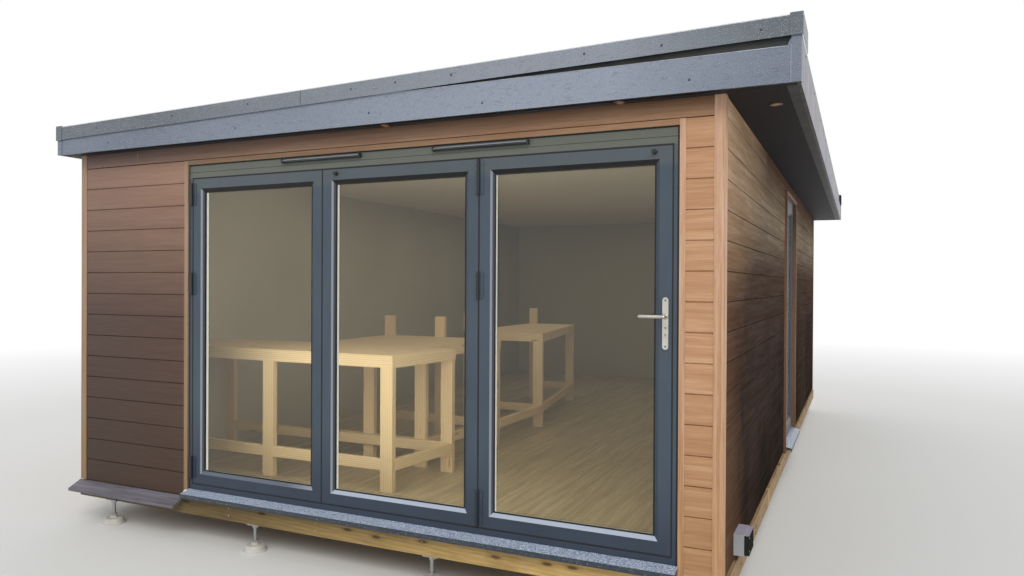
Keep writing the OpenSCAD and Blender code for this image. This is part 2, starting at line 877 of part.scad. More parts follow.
module soffit_light() {
    translate([0, 0, soffit_z - light_h]) rotate_extrude() polygon([
        [0, light_h], [light_r, light_h], [light_r, light_edge], [light_r - light_edge, 0],
        [light_r - light_rim + light_edge, 0], [light_r - light_rim, light_edge], [0, light_edge]
    ]);
}

module soffit_lights() {
    color("peru") {
        for (d = front_lights) translate([door_x1 - d, wall_y0 - light_r - light_gap, 0]) soffit_light();
        translate([wall_x1 + side_light_out, door_y + side_light, 0]) soffit_light();
    }
}

// A sill under an opening from x0 to x1
module sill(x0, x1) {
    nose_y = door_back - sill_out;
    back_y = door_back + door_d;
    nose_z = sill_z - sill_drop;
    color("slategray") yz_bar(x0, x1 - x0, [
        [back_y, deck_z], [back_y, sill_z], [door_back, sill_z], [nose_y, nose_z],
        [nose_y, nose_z - sill_lip], [nose_y + sill_lip_t, nose_z - sill_lip], [nose_y + sill_lip_t, deck_z]
    ]);
}

module door_sill() {
    on_front() sill(door_x0, door_x1);
}

module side_sill() {
    on_right() sill(side_y0, side_y1);
}

module door_frame() {
    gap_z = door_top - addon_h - shadow_gap;
    color("slategray") difference() {
        block([door_x0, door_y, sill_z], [door_x1, door_y + door_d, door_top]);
        block(
            [door_x0 + jamb_w, door_y - overlap, sill_z + threshold_h],
            [door_x1 - jamb_w, door_y + door_d + overlap, door_top - head_h - addon_h]
        );
        block(
            [door_x0 - overlap, door_y - overlap, gap_z],
            [door_x1 + overlap, door_y + shadow_gap, gap_z + shadow_gap]
        );
    }
}

// Section of a leaf's members, across from the outer edge and in from the outer face
sash_section = [
    [0, 0], [sash_face, 0], [sight_w, glass_back - 3], [sight_w, glass_back], [pane_in, glass_back],
    [pane_in, glass_back + glass_t], [sash_face, glass_back + glass_t], [sash_face, door_d], [0, door_d]
];
bead_section = [
    [sash_face, glass_back + glass_t], [sight_w, glass_back + glass_t],
    [sight_w, door_d - bead_back - 6], [sight_w - 6, door_d - bead_back], [sash_face, door_d - bead_back]
];
function swapped(section) = [for (p = section) [p.y, p.x]];

module stile(h, section) {
    intersection() {
        linear_extrude(h) polygon(section);
        xz_prism(0, door_d, [[0, 0], [sight_w, sight_w], [sight_w, h - sight_w], [0, h]]);
    }
}

module rail(w, section) {
    intersection() {
        yz_bar(0, w, swapped(section));
        xz_prism(0, door_d, [[0, 0], [w, 0], [w - sight_w, sight_w], [sight_w, sight_w]]);
    }
}

// Four mitred members round a leaf
module mitred_ring(w, h, section) {
    stile(h, section);
    translate([w, 0, 0]) mirror([1, 0, 0]) stile(h, section);
    rail(w, section);
    translate([0, 0, h]) mirror([0, 0, 1]) rail(w, section);
}

module leaf(i) {
    color("slategray") translate([leaf_x(i), door_y, leaf_z0]) mitred_ring(leaf_w, leaf_h, sash_section);
}

// The pane of a sash, at the sash's own origin
module pane(w, h) {
    color("lightblue", 0.4) translate([pane_in, glass_back, pane_in])
        cube([w - 2 * pane_in, glass_t, h - 2 * pane_in]);
}

module door_glass() {
    for (i = [0 : leaves - 1]) translate([leaf_x(i), door_y, leaf_z0]) pane(leaf_w, leaf_h);
}

// The side window's fixed sash seats in its frame without a gap
side_sash_w = side_w - 2 * jamb_w;
side_sash_z = sill_z + threshold_h;
side_sash_h = door_top - head_h - side_sash_z;
module at_side_sash() {
    on_right() translate([side_y0 + jamb_w, door_back, side_sash_z]) children();
}

module side_window() {
    color("slategray") {
        on_right() difference() {
            block([side_y0, door_back, sill_z], [side_y1, door_back + door_d, door_top]);
            block(
                [side_y0 + jamb_w, door_back - overlap, side_sash_z],
                [side_y1 - jamb_w, door_back + door_d + overlap, door_top - head_h]
            );
        }
        at_side_sash() mitred_ring(side_sash_w, side_sash_h, sash_section);
    }
}

module side_glass() {
    at_side_sash() pane(side_sash_w, side_sash_h);
}

module glazing_beads() {
    color("white") {
        for (i = [0 : leaves - 1])
            translate([leaf_x(i), door_y, leaf_z0]) mitred_ring(leaf_w, leaf_h, bead_section);
        at_side_sash() mitred_ring(side_sash_w, side_sash_h, bead_section);
    }
}

// A hinge on a joint at x = 0, its flaps on a face at y = 0 that looks towards -Y
module hinge(h) {
    translate([0, -hinge_r - flap_t, 0]) cylinder(h = h, r = hinge_r, $fn = 32);
    translate([-flap_w, -flap_t, 0]) cube([2 * flap_w, flap_t, h]);
    translate([-2, -hinge_r - flap_t, 0]) cube([4, hinge_r + flap_t, h]);
}

module door_hinges() {
    jamb_x = leaf_x(0) - leaf_gap / 2;
    fold_x = leaf_x(2) - leaf_gap / 2;
    inner_x = leaf_x(1) - leaf_gap / 2;
    places = [sill_z + hinge_low, door_top - hinge_mid, door_top - hinge_top];
    color("slategray") for (z = places) {
        h = z == places[1] ? hinge_h : hinge_long_h;
        translate([jamb_x, door_y, z - hinge_h / 2]) hinge(hinge_h);
        translate([fold_x, door_y, z - h / 2]) hinge(h);
        translate([inner_x, door_y + door_d, z - hinge_h / 2]) rotate([0, 0, 180]) hinge(hinge_h);
    }
}

module door_handle() {
    x = leaf_x(2) + leaf_w - sash_face / 2 + 2;
    z = sill_z + plate_z;
    straight = plate_h - plate_w;
    color("silver") translate([x, door_y, z]) {
        rotate([90, 0, 0]) linear_extrude(plate_t) {
            square([plate_w, straight], center = true);
            translate([0, straight / 2]) circle(d = plate_w);
            translate([0, -straight / 2]) circle(d = plate_w);
        }
        translate([0, 0, lever_up]) rotate([90, 0, 0])
            cylinder(h = lever_out + plate_t - overlap, r = lever_r);
        translate([0, -lever_out - plate_t, lever_up]) sphere(r = lever_r);
        translate([0, -lever_out - plate_t, lever_up]) rotate([0, -90, 0]) {
            cylinder(h = lever_len - lever_r, r = lever_r);
            translate([0, 0, lever_len - lever_r]) sphere(r = lever_r);
        }
        translate([0, 0, -lock_drop]) rotate([90, 0, 0]) cylinder(h = plate_t + 4, r = lock_r);
    }
}

module door_catch() {
    rotate([90, 0, 0]) rotate_extrude() polygon([
        [0, 0], [catch_r, 0], [catch_r, 3], [catch_r - 3, 4], [catch_r - 3, catch_len - 2],
        [catch_r - 5, catch_len], [0, catch_len]
    ]);
}

module door_catches() {
    color("black") {
        translate([leaf_x(1) + catch_in[0], door_y, door_top - catch_drop]) door_catch();
        translate([leaf_x(2) + leaf_w - catch_in[1], door_y, door_top - catch_drop]) door_catch();
    }
}

module trickle_vents() {
    hood = [
        [0, 0], [0, vent_h], [-vent_d + 6, vent_h - 5], [-vent_d, vent_h - 9], [-vent_d, 2], [-vent_d + 3, 0]
    ];
    z = door_top - addon_h / 2 - vent_h / 2;
    for (end = vent_ends)
        color("dimgray") translate([door_x1 - end - vent_w, door_y, z]) {
            yz_bar(0, vent_w, hood);
            for (x = [0, vent_w - vent_cap]) translate([x, 0, 0])
                block([0, -vent_d - 2, -2], [vent_cap, 0, vent_h + 1]);
        }
}

// Where the slanting right side of a bench lies at a place along it
function side_at(x1, skew, y0, y1, y) = x1 + skew * (y - y0) / (y1 - y0);

// A bench of timber rails and legs under a sheet top, with rows of legs along X and Y.
// From the row rising on, all legs but the right one rise past the top by a post's height.
module workbench(x0, x1, y0, y1, skew, legs_x, legs_y, rising = 9) {
    t = bench_t;
    floor_z = deck_z + floor_t;
    top = floor_z + bench_h;
    sheet_z = top - bench_top_t;
    rail_z = sheet_z - bench_rail_h;
    low_z = floor_z + bench_low;
    rows = spread(y0, y1 - t, legs_y);
    color("burlywood") {
        slab(sheet_z, bench_top_t, [[x0, y0], [x1, y0], [x1 + skew, y1], [x0, y1]]);
        difference() {
            slab(rail_z, bench_rail_h + overlap, [[x0, y0], [x1, y0], [x1 + skew, y1], [x0, y1]]);
            slab(rail_z - overlap, bench_rail_h + overlap, [
                [x0 + t, y0 + t], [side_at(x1, skew, y0, y1, y0 + t) - t, y0 + t],
                [side_at(x1, skew, y0, y1, y1 - t) - t, y1 - t], [x0 + t, y1 - t]
            ]);
        }
        for (j = [0 : legs_y - 1]) {
            y = rows[j];
            edge = min(side_at(x1, skew, y0, y1, y), side_at(x1, skew, y0, y1, y + t));
            xs = spread(x0, edge - bench_leg_w, legs_x);
            for (i = [0 : legs_x - 1]) {
                rises = j >= rising && i < legs_x - 1;
                end_z = rises ? top + bench_post : rail_z + overlap;
                block([xs[i], y, floor_z], [xs[i] + bench_leg_w, y + t, end_z]);
            }
            if (j == 0 || j == legs_y - 1) block([x0, y, low_z], [edge, y + t, low_z + bench_rail_h]);
        }
        slab(low_z, bench_rail_h, [[x1 - t, y0], [x1, y0], [x1 + skew, y1], [x1 + skew - t, y1]]);
    }
}

module front_workbench() {
    x1 = door_x1 - bench_side;
    workbench(core_x0 + lining_t, x1, bench_y0, bench_y0 + bench_d, bench_skew, 3, 2);
}

// A low rail runs on from the right side of this bench to the rear bench
module middle_workbench() {
    x1 = door_x1 - mid_bench_side;
    y1 = mid_bench_y0 + mid_bench_l;
    end_x = x1 + mid_bench_skew;
    next_x = door_x1 - rear_bench_side;
    workbench(x1 - mid_bench_w, x1, mid_bench_y0, y1, mid_bench_skew, 3, 2, rising = 1);
    color("burlywood") slab(deck_z + floor_t + bench_low, bench_rail_h, [
        [end_x - bench_t, y1 - overlap], [end_x, y1 - overlap],
        [next_x, rear_bench_y0 - butt_gap], [next_x - bench_t, rear_bench_y0 - butt_gap]
    ]);
}

module rear_workbench() {
    x1 = door_x1 - rear_bench_side;
    y1 = rear_bench_y0 + rear_bench_l;
    workbench(x1 - rear_bench_w, x1, rear_bench_y0, y1, -rear_bench_skew, 2, 2, rising = 0);
}

module power_box() {
    x = wall_x1;
    y = wall_y0 + box_back;
    box_z = clad_z + box_up;
    color("lightgray") {
        block([x, y, box_z], [x + box_size.x, y + box_size.y, box_z + box_size.z]);
        block(
            [x + box_size.x - overlap, y + cover_in, box_z + cover_in],
            [x + box_size.x + cover_t, y + box_size.y - cover_in, box_z + box_size.z - cover_in]
        );
        translate([x + box_size.x / 2, y + box_size.y / 2, box_z - gland_l])
            cylinder(h = gland_l + overlap, r = gland_r);
    }
}

levelling_feet();
foot_screws();
bearer(bearer_ys[0]);  // front_bearer
middle_bearer();
bearer(bearer_ys[bearer_rows - 1]);  // rear_bearer
side_bearers();
floor_joists();
floor_deck();
floor_boards();
front_wall_left();
front_wall_right();
front_wall_head();
left_wall();
right_wall();
rear_wall();
wall_lining();
ceiling();
front_cladding_left();
front_cladding_right();
front_cladding_head();
left_cladding();
right_cladding();
rear_cladding();
corner_trims();
door_trim();
base_ledge();
roof_structure();
roof_membrane();
roof_edge_trims();
roof_corner_caps();
fascia_backing();
front_fascia();
right_fascia();
left_fascia();
rear_fascia();
fascia_corner_posts();
soffit_boards();
soffit_vent();
soffit_lights();
door_sill();
door_frame();
leaf(0);  // left_leaf
leaf(1);  // middle_leaf
leaf(2);  // right_leaf
door_glass();
glazing_beads();
door_hinges();
door_handle();
door_catches();
trickle_vents();
side_window();
side_glass();
side_sill();
side_trims();
front_workbench();
middle_workbench();
rear_workbench();
power_box();
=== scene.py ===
"""Looks of the garden office: a material for every node of the frame, and the small parts on it."""
import math
import random
from itertools import product

import bpy
from mathutils import Matrix, Vector


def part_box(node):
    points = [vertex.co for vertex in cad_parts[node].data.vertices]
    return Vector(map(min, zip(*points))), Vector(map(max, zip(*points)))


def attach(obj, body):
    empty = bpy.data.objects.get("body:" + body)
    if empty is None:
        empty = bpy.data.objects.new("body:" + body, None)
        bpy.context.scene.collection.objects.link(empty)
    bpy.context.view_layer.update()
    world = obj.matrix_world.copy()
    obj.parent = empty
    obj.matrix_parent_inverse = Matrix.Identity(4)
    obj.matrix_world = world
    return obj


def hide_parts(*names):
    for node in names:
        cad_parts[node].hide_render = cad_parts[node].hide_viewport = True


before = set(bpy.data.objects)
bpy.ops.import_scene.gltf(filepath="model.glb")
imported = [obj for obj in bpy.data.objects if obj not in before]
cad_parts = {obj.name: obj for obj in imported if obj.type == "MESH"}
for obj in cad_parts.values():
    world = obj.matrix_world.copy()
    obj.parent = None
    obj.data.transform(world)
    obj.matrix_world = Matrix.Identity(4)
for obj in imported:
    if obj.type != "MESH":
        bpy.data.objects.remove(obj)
scene = bpy.context.scene
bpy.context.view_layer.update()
rng = random.Random(7)

# Places that the rest is measured from: lo is a node's lowest corner, and hi its highest
door_lo, door_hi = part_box("door_frame")
left_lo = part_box("left_cladding")[0]
right_lo, right_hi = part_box("right_cladding")
front_lo, front_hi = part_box("front_cladding_left")
roof_lo, roof_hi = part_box("roof_edge_trims")
LEAVES = ("left_leaf", "middle_leaf", "right_leaf")
leaf_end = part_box("left_leaf")[1].x
# The lower right corner of the door's frame, at its front
ORIGIN = Vector((door_hi.x, door_lo.y, door_lo.z))
BOARD_ROWS, GROOVE = 15, 0.004
BOARD = (front_hi.z + GROOVE / 2 - front_lo.z) / BOARD_ROWS
# Ways a face can look
FRONT, LEFT, RIGHT, DOWN = (0, -1, 0), (-1, 0, 0), (1, 0, 0), (0, 0, -1)


# Materials

def lin(text):
    """A colour written as sRGB hex, in linear values."""
    parts = [int(text[i:i + 2], 16) / 255 for i in (1, 3, 5)]
    return tuple(c / 12.92 if c <= 0.04045 else ((c + 0.055) / 1.055) ** 2.4 for c in parts) + (1.0,)


class Shade:
    """A material with one Principled shader, and the nodes that feed it."""

    def __init__(self, name, rough, metallic=0.0, color=None):
        self.mat = bpy.data.materials.new(name)
        self.mat.use_nodes = True
        self.tree = self.mat.node_tree
        self.shader = self.tree.nodes["Principled BSDF"]
        self.feed("Roughness", rough)
        self.feed("Metallic", metallic)
        if color:
            self.feed("Base Color", lin(color))

    def fill(self, socket, value):
        """Links a node's output to the socket, or sets the socket to a plain value."""
        if isinstance(value, bpy.types.NodeSocket):
            self.tree.links.new(value, socket)
        else:
            socket.default_value = value

    def feed(self, name, value):
        self.fill(self.shader.inputs[name], value)

    def node(self, kind, inputs, output=0, **props):
        made = self.tree.nodes.new("ShaderNode" + kind)
        for key, value in props.items():
            setattr(made, key, value)
        for key, value in inputs.items():
            self.fill(made.inputs[key], value)
        return made.outputs[output]

    def at(self, sx=1.0, sy=1.0, sz=1.0, shift=(0, 0, 0)):
        place = self.node("TexCoord", {}, "Object")
        return self.node("Mapping", {"Vector": place, "Scale": (sx, sy, sz), "Location": shift})

    def axis(self, name):
        return self.node("SeparateXYZ", {0: self.node("TexCoord", {}, "Object")}, name)

    def normal(self, name):
        """One part of the direction that the face looks in."""
        return self.node("SeparateXYZ", {0: self.node("NewGeometry", {}, "Normal")}, name)

    def tint(self, fac, base, color):
        return self.mix(fac, base, color, "MULTIPLY")

    def noise(self, vec, scale, detail, rough, distort=0.0):
        return self.node("TexNoise", {
            "Vector": vec, "Scale": scale, "Detail": detail, "Roughness": rough, "Distortion": distort})

    def cells(self, vec, scale, output="Distance", flat=False):
        sort = "2D" if flat else "3D"
        return self.node("TexVoronoi", {"Vector": vec, "Scale": scale}, output, voronoi_dimensions=sort)

    def math(self, how, a, b=0.0):
        return self.node("Math", {0: a, 1: b}, operation=how)

    def times(self, a, b):
        return self.math("MULTIPLY", a, b)

    def share(self, a, b, part):
        """That part of a, and the rest of b."""
        return self.math("ADD", self.times(a, part), self.times(b, 1 - part))

    def span(self, value, low, high, to_low=0.0, to_high=1.0):
        return self.node("MapRange", {0: value, 1: low, 2: high, 3: to_low, 4: to_high}, clamp=True)

    def ramp(self, fac, *stops):
        made = self.tree.nodes.new("ShaderNodeValToRGB")
        self.tree.links.new(fac, made.inputs[0])
        points = made.color_ramp.elements
        while len(points) < len(stops):
            points.new(0.5)
        for point, (place, color) in zip(points, stops):
            point.position = place
            point.color = lin(color)
        return made.outputs[0]

    def mix(self, fac, a, b, how="MIX"):
        a, b = [lin(c) if isinstance(c, str) else c for c in (a, b)]
        return self.node("Mix", {0: fac, 6: a, 7: b}, 2, data_type="RGBA", blend_type=how)

    def bump(self, height, depth, strength):
        old = self.shader.inputs["Normal"]
        inputs = {"Height": height, "Distance": depth, "Strength": strength}
        if old.is_linked:
            inputs["Normal"] = old.links[0].from_socket
        self.feed("Normal", self.node("Bump", inputs))


def in_boards(s, z):
    """A height counted in cladding boards."""
    return s.math("DIVIDE", s.math("SUBTRACT", z, front_lo.z), BOARD)


def row_value(s, seed):
    """A random value for each cladding board, the same all along it."""
    row = s.math("FLOOR", in_boards(s, s.axis("Z")))
    return s.node("TexWhiteNoise", {"W": s.math("ADD", row, seed)}, noise_dimensions="1D")


def cladding(name, tones, seed, shade=None, shine=0.5):
    """Boards with an embossed grain along them: a tone for each board, streaks and clouds."""
    s = Shade(name, rough=0.55)
    s.feed("Specular IOR Level", shine)
    streak = s.noise(s.at(1.3, 1.3, 34, (seed, 0, 0)), 1, 5, 0.62, 0.4)
    fine = s.noise(s.at(7, 7, 330, (0, seed, 0)), 1, 4, 0.6, 0.3)
    cloud = s.noise(s.at(1.1, 1.1, 2.2, (seed, seed, 0)), 1, 3, 0.5)
    grain = s.share(streak, fine, 0.62)
    wood = s.ramp(grain, *zip((0.34, 0.5, 0.64), tones))
    wood = s.mix(s.span(row_value(s, seed), 0, 1, 0.0, 0.24), wood, tones[0])
    wood = s.mix(s.span(cloud, 0.4, 0.75, 0.0, 0.3), wood, tones[0])
    if shade:
        wood = shade(s, wood)
    s.feed("Base Color", wood)
    s.feed("Roughness", s.span(fine, 0.3, 0.7, 0.66, 0.44))
    s.bump(streak, 0.0012, 0.5)
    s.bump(fine, 0.0007, 0.7)
    return s.mat


def front_shade(s, wood):
    """Painted shade: browner towards the left, darker low down beside the door, and under the eaves; and
    slightly darker towards the bottom all along.
    """
    x, z = s.axis("X"), s.axis("Z")
    # Painted shade: browner towards the left
    wood = s.mix(s.span(x, left_lo.x + 0.2, door_hi.x + 0.1, 0.78, 0.0), wood, "#725b56")
    aside = s.span(x, door_lo.x + 0.05, door_lo.x - 0.05)
    # Painted shade: darker low down, left of the door
    wood = s.tint(s.times(aside, s.span(z, 2.2, 1.35)), wood, "#8d8685")
    wood = s.tint(s.times(aside, s.span(z, 1.35, 0.55)), wood, "#ebe2d3")
    # Slightly darker towards the bottom all along
    wood = s.tint(s.span(z, 1.3, 0.3), wood, "#e7e6d8")
    # Painted shade under the eaves, less deep and bluer to the left
    eaves = s.span(z, door_hi.z + 0.02, door_hi.z + 0.11, 0.2, 1.0)
    head = s.times(eaves, s.span(z, door_hi.z + 0.02, door_hi.z + 0.03))
    tone = s.mix(s.span(x, door_lo.x - 0.4, door_hi.x), "#b2b7c4", "#9a8f84")
    return s.tint(head, wood, tone)


def side_shade(s, wood):
    """Lighter by the corner and high up, with painted shade low down. Beyond the corner dark, partly soaked
    with rain and partly painted shade, most of all low down; a light grey band high up, partly dust and
    partly painted reflection, and painted shade under the eaves. Paler worn board edges and scratches."""
    y, z = s.axis("Y"), s.axis("Z")
    blot = s.noise(s.at(0.1, 0.8, 0.5, (3.1, 0.2, 1.4)), 1.6, 4, 0.6)
    # How far the lighter boards by the corner reach: furthest high up
    reach = s.math("ADD", s.span(z, 1.5, 2.1, 0.4, 1.0), s.span(blot, 0.3, 0.7, -0.14, 0.14))
    back = s.span(s.math("DIVIDE", s.math("SUBTRACT", y, right_lo.y), reach), 0.0, 1.6)
    # By the corner: painted shade low down
    near = s.mix(s.span(z, 1.45, 2.3), "#7b6f68", "#f3f0e2")
    # Beyond it: dark, partly soaked with rain and partly painted shade; a light grey band high up, partly
    # dust and partly painted reflection; painted shade under the eaves
    far = s.ramp(s.span(z, 0.3, 2.4), (0.0, "#343638"), (0.4, "#464850"), (0.66, "#656467"),
                 (0.84, "#b7c4c4"), (1.0, "#807876"))
    far = s.mix(s.span(blot, 0.4, 0.7, 0.0, 0.4), far, "#68666c")
    wood = s.tint(1.0, wood, s.mix(back, near, far))
    row = s.math("FRACT", in_boards(s, z))
    worn = s.noise(s.at(1, 1.6, 9, (0, 4, 7)), 1, 4, 0.7)
    edge = s.times(s.span(row, 0.06, 0.02), s.span(worn, 0.42, 0.6, 0.0, 0.7))
    wood = s.mix(edge, wood, "#77655a")
    scuff = s.noise(s.at(1, 2.6, 60, (0, 9, 2)), 1, 6, 0.75, 1.6)
    return s.mix(s.span(scuff, 0.68, 0.75, 0.0, 0.2), wood, "#8f7c6e")


def trim_wood(name, tones):
    """Narrow trims with a fine grain along them: level over the door, upright elsewhere. Painted shade
    greys them towards the left of the front and on the right wall, and darkens the piece over the door like
    the header under the eaves; all are darker towards the bottom.
    """
    s = Shade(name, rough=0.5)
    x, z = s.axis("X"), s.axis("Z")
    over = s.math("GREATER_THAN", z, door_hi.z)
    on_front = s.math("LESS_THAN", s.axis("Y"), front_lo.y + 0.06)
    middle, half = (door_lo.x + door_hi.x) / 2, (door_hi.x - door_lo.x) / 2
    inside = s.math("LESS_THAN", s.math("ABSOLUTE", s.math("SUBTRACT", x, middle)), half)
    head = s.times(over, s.times(on_front, inside))

    def fibres(across, along, detail, distort=0.0):
        upright = s.noise(s.at(across, across, along), 1, detail, 0.6, distort)
        level = s.noise(s.at(along, across, across), 1, detail, 0.6, distort)
        return s.node("Mix", {0: head, 2: upright, 3: level})

    streak, fine = fibres(60, 1.5, 5, 0.5), fibres(360, 9, 3)
    wood = s.ramp(s.share(streak, fine, 0.6), *zip((0.34, 0.5, 0.64), tones))
    # Painted shade: greyer towards the left of the front
    left = s.span(x, door_lo.x, door_hi.x - 0.05, 0.6, 0.0)
    shade = s.times(left, s.math("LESS_THAN", s.axis("Y"), front_lo.y + 0.1))
    wood = s.mix(shade, wood, "#776b5c")
    # Painted shade on the trims along the right wall
    right = s.math("GREATER_THAN", x, right_lo.x - 0.01)
    aside = s.times(right, s.math("GREATER_THAN", s.axis("Y"), front_lo.y + 0.5))
    wood = s.tint(aside, wood, "#a0958c")
    # Darker towards the bottom
    wood = s.tint(s.span(z, 1.9, 0.4), wood, "#e7dfc4")
    # Painted shade under the eaves darkens the piece over the door, like the header
    s.feed("Base Color", s.tint(head, wood, "#d0c6b4"))
    s.bump(streak, 0.0008, 0.5)
    s.bump(fine, 0.0004, 0.6)
    return s.mat


def sawn_timber(name, tones, along, stain=None, damp_and_shade=None):
    """Sawn softwood: growth lines along the piece, knots and rough fibre. It can be darker to the left,
    partly soaked with rain and partly painted shade.
    """
    s = Shade(name, rough=0.7)
    long, wide = 1.2, 26.0
    scale = {"X": (long, wide, wide), "Y": (wide, long, wide)}[along]
    knots = s.node("CombineXYZ", {0: s.times(s.axis(along), 3.4), 1: s.times(s.axis("Z"), 11)})
    some = s.math("GREATER_THAN", s.node("SeparateColor", {0: s.cells(knots, 1.0, "Color", True)}), 0.35)
    knot = s.cells(knots, 1.0, "Distance", True)
    ring = s.times(s.span(knot, 0.12, 0.06), some)
    halo = s.times(s.span(knot, 0.24, 0.07), some)
    lines = s.node("TexWave", {
        "Vector": s.at(*scale), "Scale": 1.1, "Distortion": 2.6, "Detail": 3.0,
        "Detail Scale": 1.1, "Phase Offset": halo}, 1, bands_direction="DIAGONAL")
    fibre = s.noise(s.at(*[c * 5 for c in scale]), 1, 4, 0.6)
    wood = s.ramp(s.share(lines, fibre, 0.14), *zip((0.2, 0.5, 0.8), tones))
    wood = s.mix(s.times(halo, 0.35), wood, "#7d5a2c")
    wood = s.mix(s.times(ring, 0.85), wood, "#55351b")
    if stain:
        blot = s.noise(s.at(1.7, 1.7, 5.0), 1, 4, 0.65)
        wood = s.mix(s.span(blot, 0.5, 0.72, 0.0, 0.6), wood, stain)
    # Darker to the left: partly soaked with rain, partly painted shade
    if damp_and_shade:
        wood = s.tint(s.span(s.axis("X"), -0.9, 1.1, 1.0, 0.0), wood, damp_and_shade)
    s.feed("Base Color", wood)
    s.bump(fibre, 0.0006, 0.8)
    s.bump(ring, 0.001, 0.5)
    return s.mat


def rain(s, base, size, amount, glint_tone="#b9c0cc", where=1.0):
    """Small standing drops: a little dome for each one, with a light fleck on it, a painted glint."""
    vec = s.at()
    near = s.cells(vec, 1 / size)
    tone = s.node("SeparateColor", {0: s.cells(vec, 1 / size, "Color")})
    here = s.span(tone, 1 - amount, 1 - amount + 0.02)
    drop = s.times(s.times(s.span(near, 0.42, 0.18), here), where)
    # A light fleck on each drop: a painted glint
    s.feed("Base Color", s.mix(s.times(drop, 0.7), base, glint_tone))
    s.bump(drop, size * 0.35, 0.9)


def board_plastic(name, tone, speck, reflection_tone, wear=None, rough=0.42):
    """Embossed plastic board with fine drops of rain on it; a painted reflection of the sky lightens the
    middle of the front, painted shade darkens faces that look down, and a painted highlight lightens faces
    that slope up.
    """
    s = Shade(name, rough=rough)
    emboss = s.noise(s.at(26, 26, 90), 1, 5, 0.6, 0.6)
    cloud = s.noise(s.at(1.7, 1.7, 6), 1, 4, 0.6)
    base = s.mix(s.span(cloud, 0.3, 0.7, 0.0, 0.5), tone, speck)
    x = s.axis("X")
    # Painted reflection of the sky, strongest in the middle of the front
    reflection_band = s.times(s.span(x, -1.5, 0.9), s.span(x, 2.2, 1.5))
    base = s.mix(s.times(reflection_band, 0.8), base, reflection_tone)
    base = s.mix(s.span(emboss, 0.55, 0.72, 0.0, 0.32), base, "#14171b")
    if wear:
        base = wear(s, base)
    z = s.normal("Z")
    # Painted shade on faces that look down; painted highlight on faces that slope up
    base = s.mix(s.span(z, -0.3, -0.6), base, "#15171a")
    base = s.mix(s.times(s.span(z, 0.05, 0.12), s.span(z, 0.95, 0.85)), base, "#d3d7da")
    rain(s, base, 0.007, 0.55)
    s.bump(emboss, 0.0006, 0.5)
    return s.mat


def weathered_side(s, base):
    """Pale streaks where water has run down the board."""
    run = s.noise(s.at(30, 16, 1.4), 1, 5, 0.7, 0.5)
    base = s.mix(s.span(run, 0.42, 0.6, 0.0, 0.85), base, "#a7a2ac")
    fleck = s.noise(s.at(60, 60, 60), 1, 3, 0.6)
    return s.mix(s.span(fleck, 0.58, 0.7, 0.0, 0.4), base, "#3a3a40")


def powder_coat(name, tone, rough=0.42, wet_painted_light=None, knuckle=None):
    """Fine-textured powder coat, with painted light: a painted reflection of the sky on its bevels, a
    painted highlight at the front of its reveals with painted shade deeper in, lighter olive tones at the
    top, and painted shade on its undersides and low down. The sill's coat has a light top, a painted
    reflection of the sky with painted glints of fine drops, and a darker tone on its other faces, in
    painted shade; hinges have the tone knuckle at their front."""
    s = Shade(name, rough=rough)
    grit = s.noise(s.at(), 900, 2, 0.5)
    cloud = s.noise(s.at(2, 2, 0.9), 1.5, 4, 0.6)
    dust = s.noise(s.at(12, 12, 3), 1, 6, 0.7)
    up, aside, z = s.normal("Z"), s.normal("X"), s.axis("Z")
    base = s.mix(s.span(cloud, 0.35, 0.7, 0.0, 0.35), tone, "#546370")
    if wet_painted_light:
        # Painted glints of fine drops on the sill's top; its other faces take a darker tone, in painted
        # shade
        speck = s.noise(s.at(), 150, 2, 0.7)
        base = s.mix(s.span(speck, 0.44, 0.6), base, "#d3def0")
        base = s.mix(s.span(up, 0.9, 0.6), base, wet_painted_light)
        rain(s, base, 0.0065, 0.8, "#c3cfe2", s.span(up, 0.6, 0.9))
    else:
        # Painted light: greyer and lighter near the top, olive on the frame's head
        head = s.span(z, door_hi.z - 0.086, door_hi.z - 0.084)
        base = s.mix(s.span(z, door_hi.z - 0.19, door_hi.z - 0.16, 0.0, 0.5), base, "#585f5f")
        base = s.mix(head, base, "#62655d")
        base = s.mix(s.span(dust, 0.62, 0.78, 0.0, 0.25), base, "#8b9499")
        # Painted shade: darker low down
        base = s.tint(s.span(z, 0.75, 0.4), base, "#bfc5d6")
        if knuckle:
            base = s.mix(s.span(s.axis("Y"), door_lo.y - 0.0045, door_lo.y - 0.006), base, knuckle)
        else:
            # Painted reflection of the sky on faces that look up, brighter towards the right
            lit = s.mix(s.span(s.axis("X"), leaf_end - 0.25, leaf_end + 0.1), "#5b6370", "#abb4c5")
            base = s.mix(s.span(up, 0.25, 0.5), base, lit)
            # Painted highlight on the front edge of the reveals, painted shade deeper in
            reveal = s.mix(s.span(s.axis("Y"), door_lo.y + 0.0065, door_lo.y + 0.009), "#8b8f99", "#343c47")
            base = s.mix(s.span(aside, 0.25, 0.5), base, reveal)
            # Painted shade on the undersides
            base = s.mix(s.span(up, -0.25, -0.5), base, "#07090b")
        s.feed("Base Color", base)
        s.feed("Roughness", s.span(dust, 0.4, 0.7, rough - 0.06, rough + 0.12))
    s.bump(grit, 0.0002, 0.35)
    return s.mat


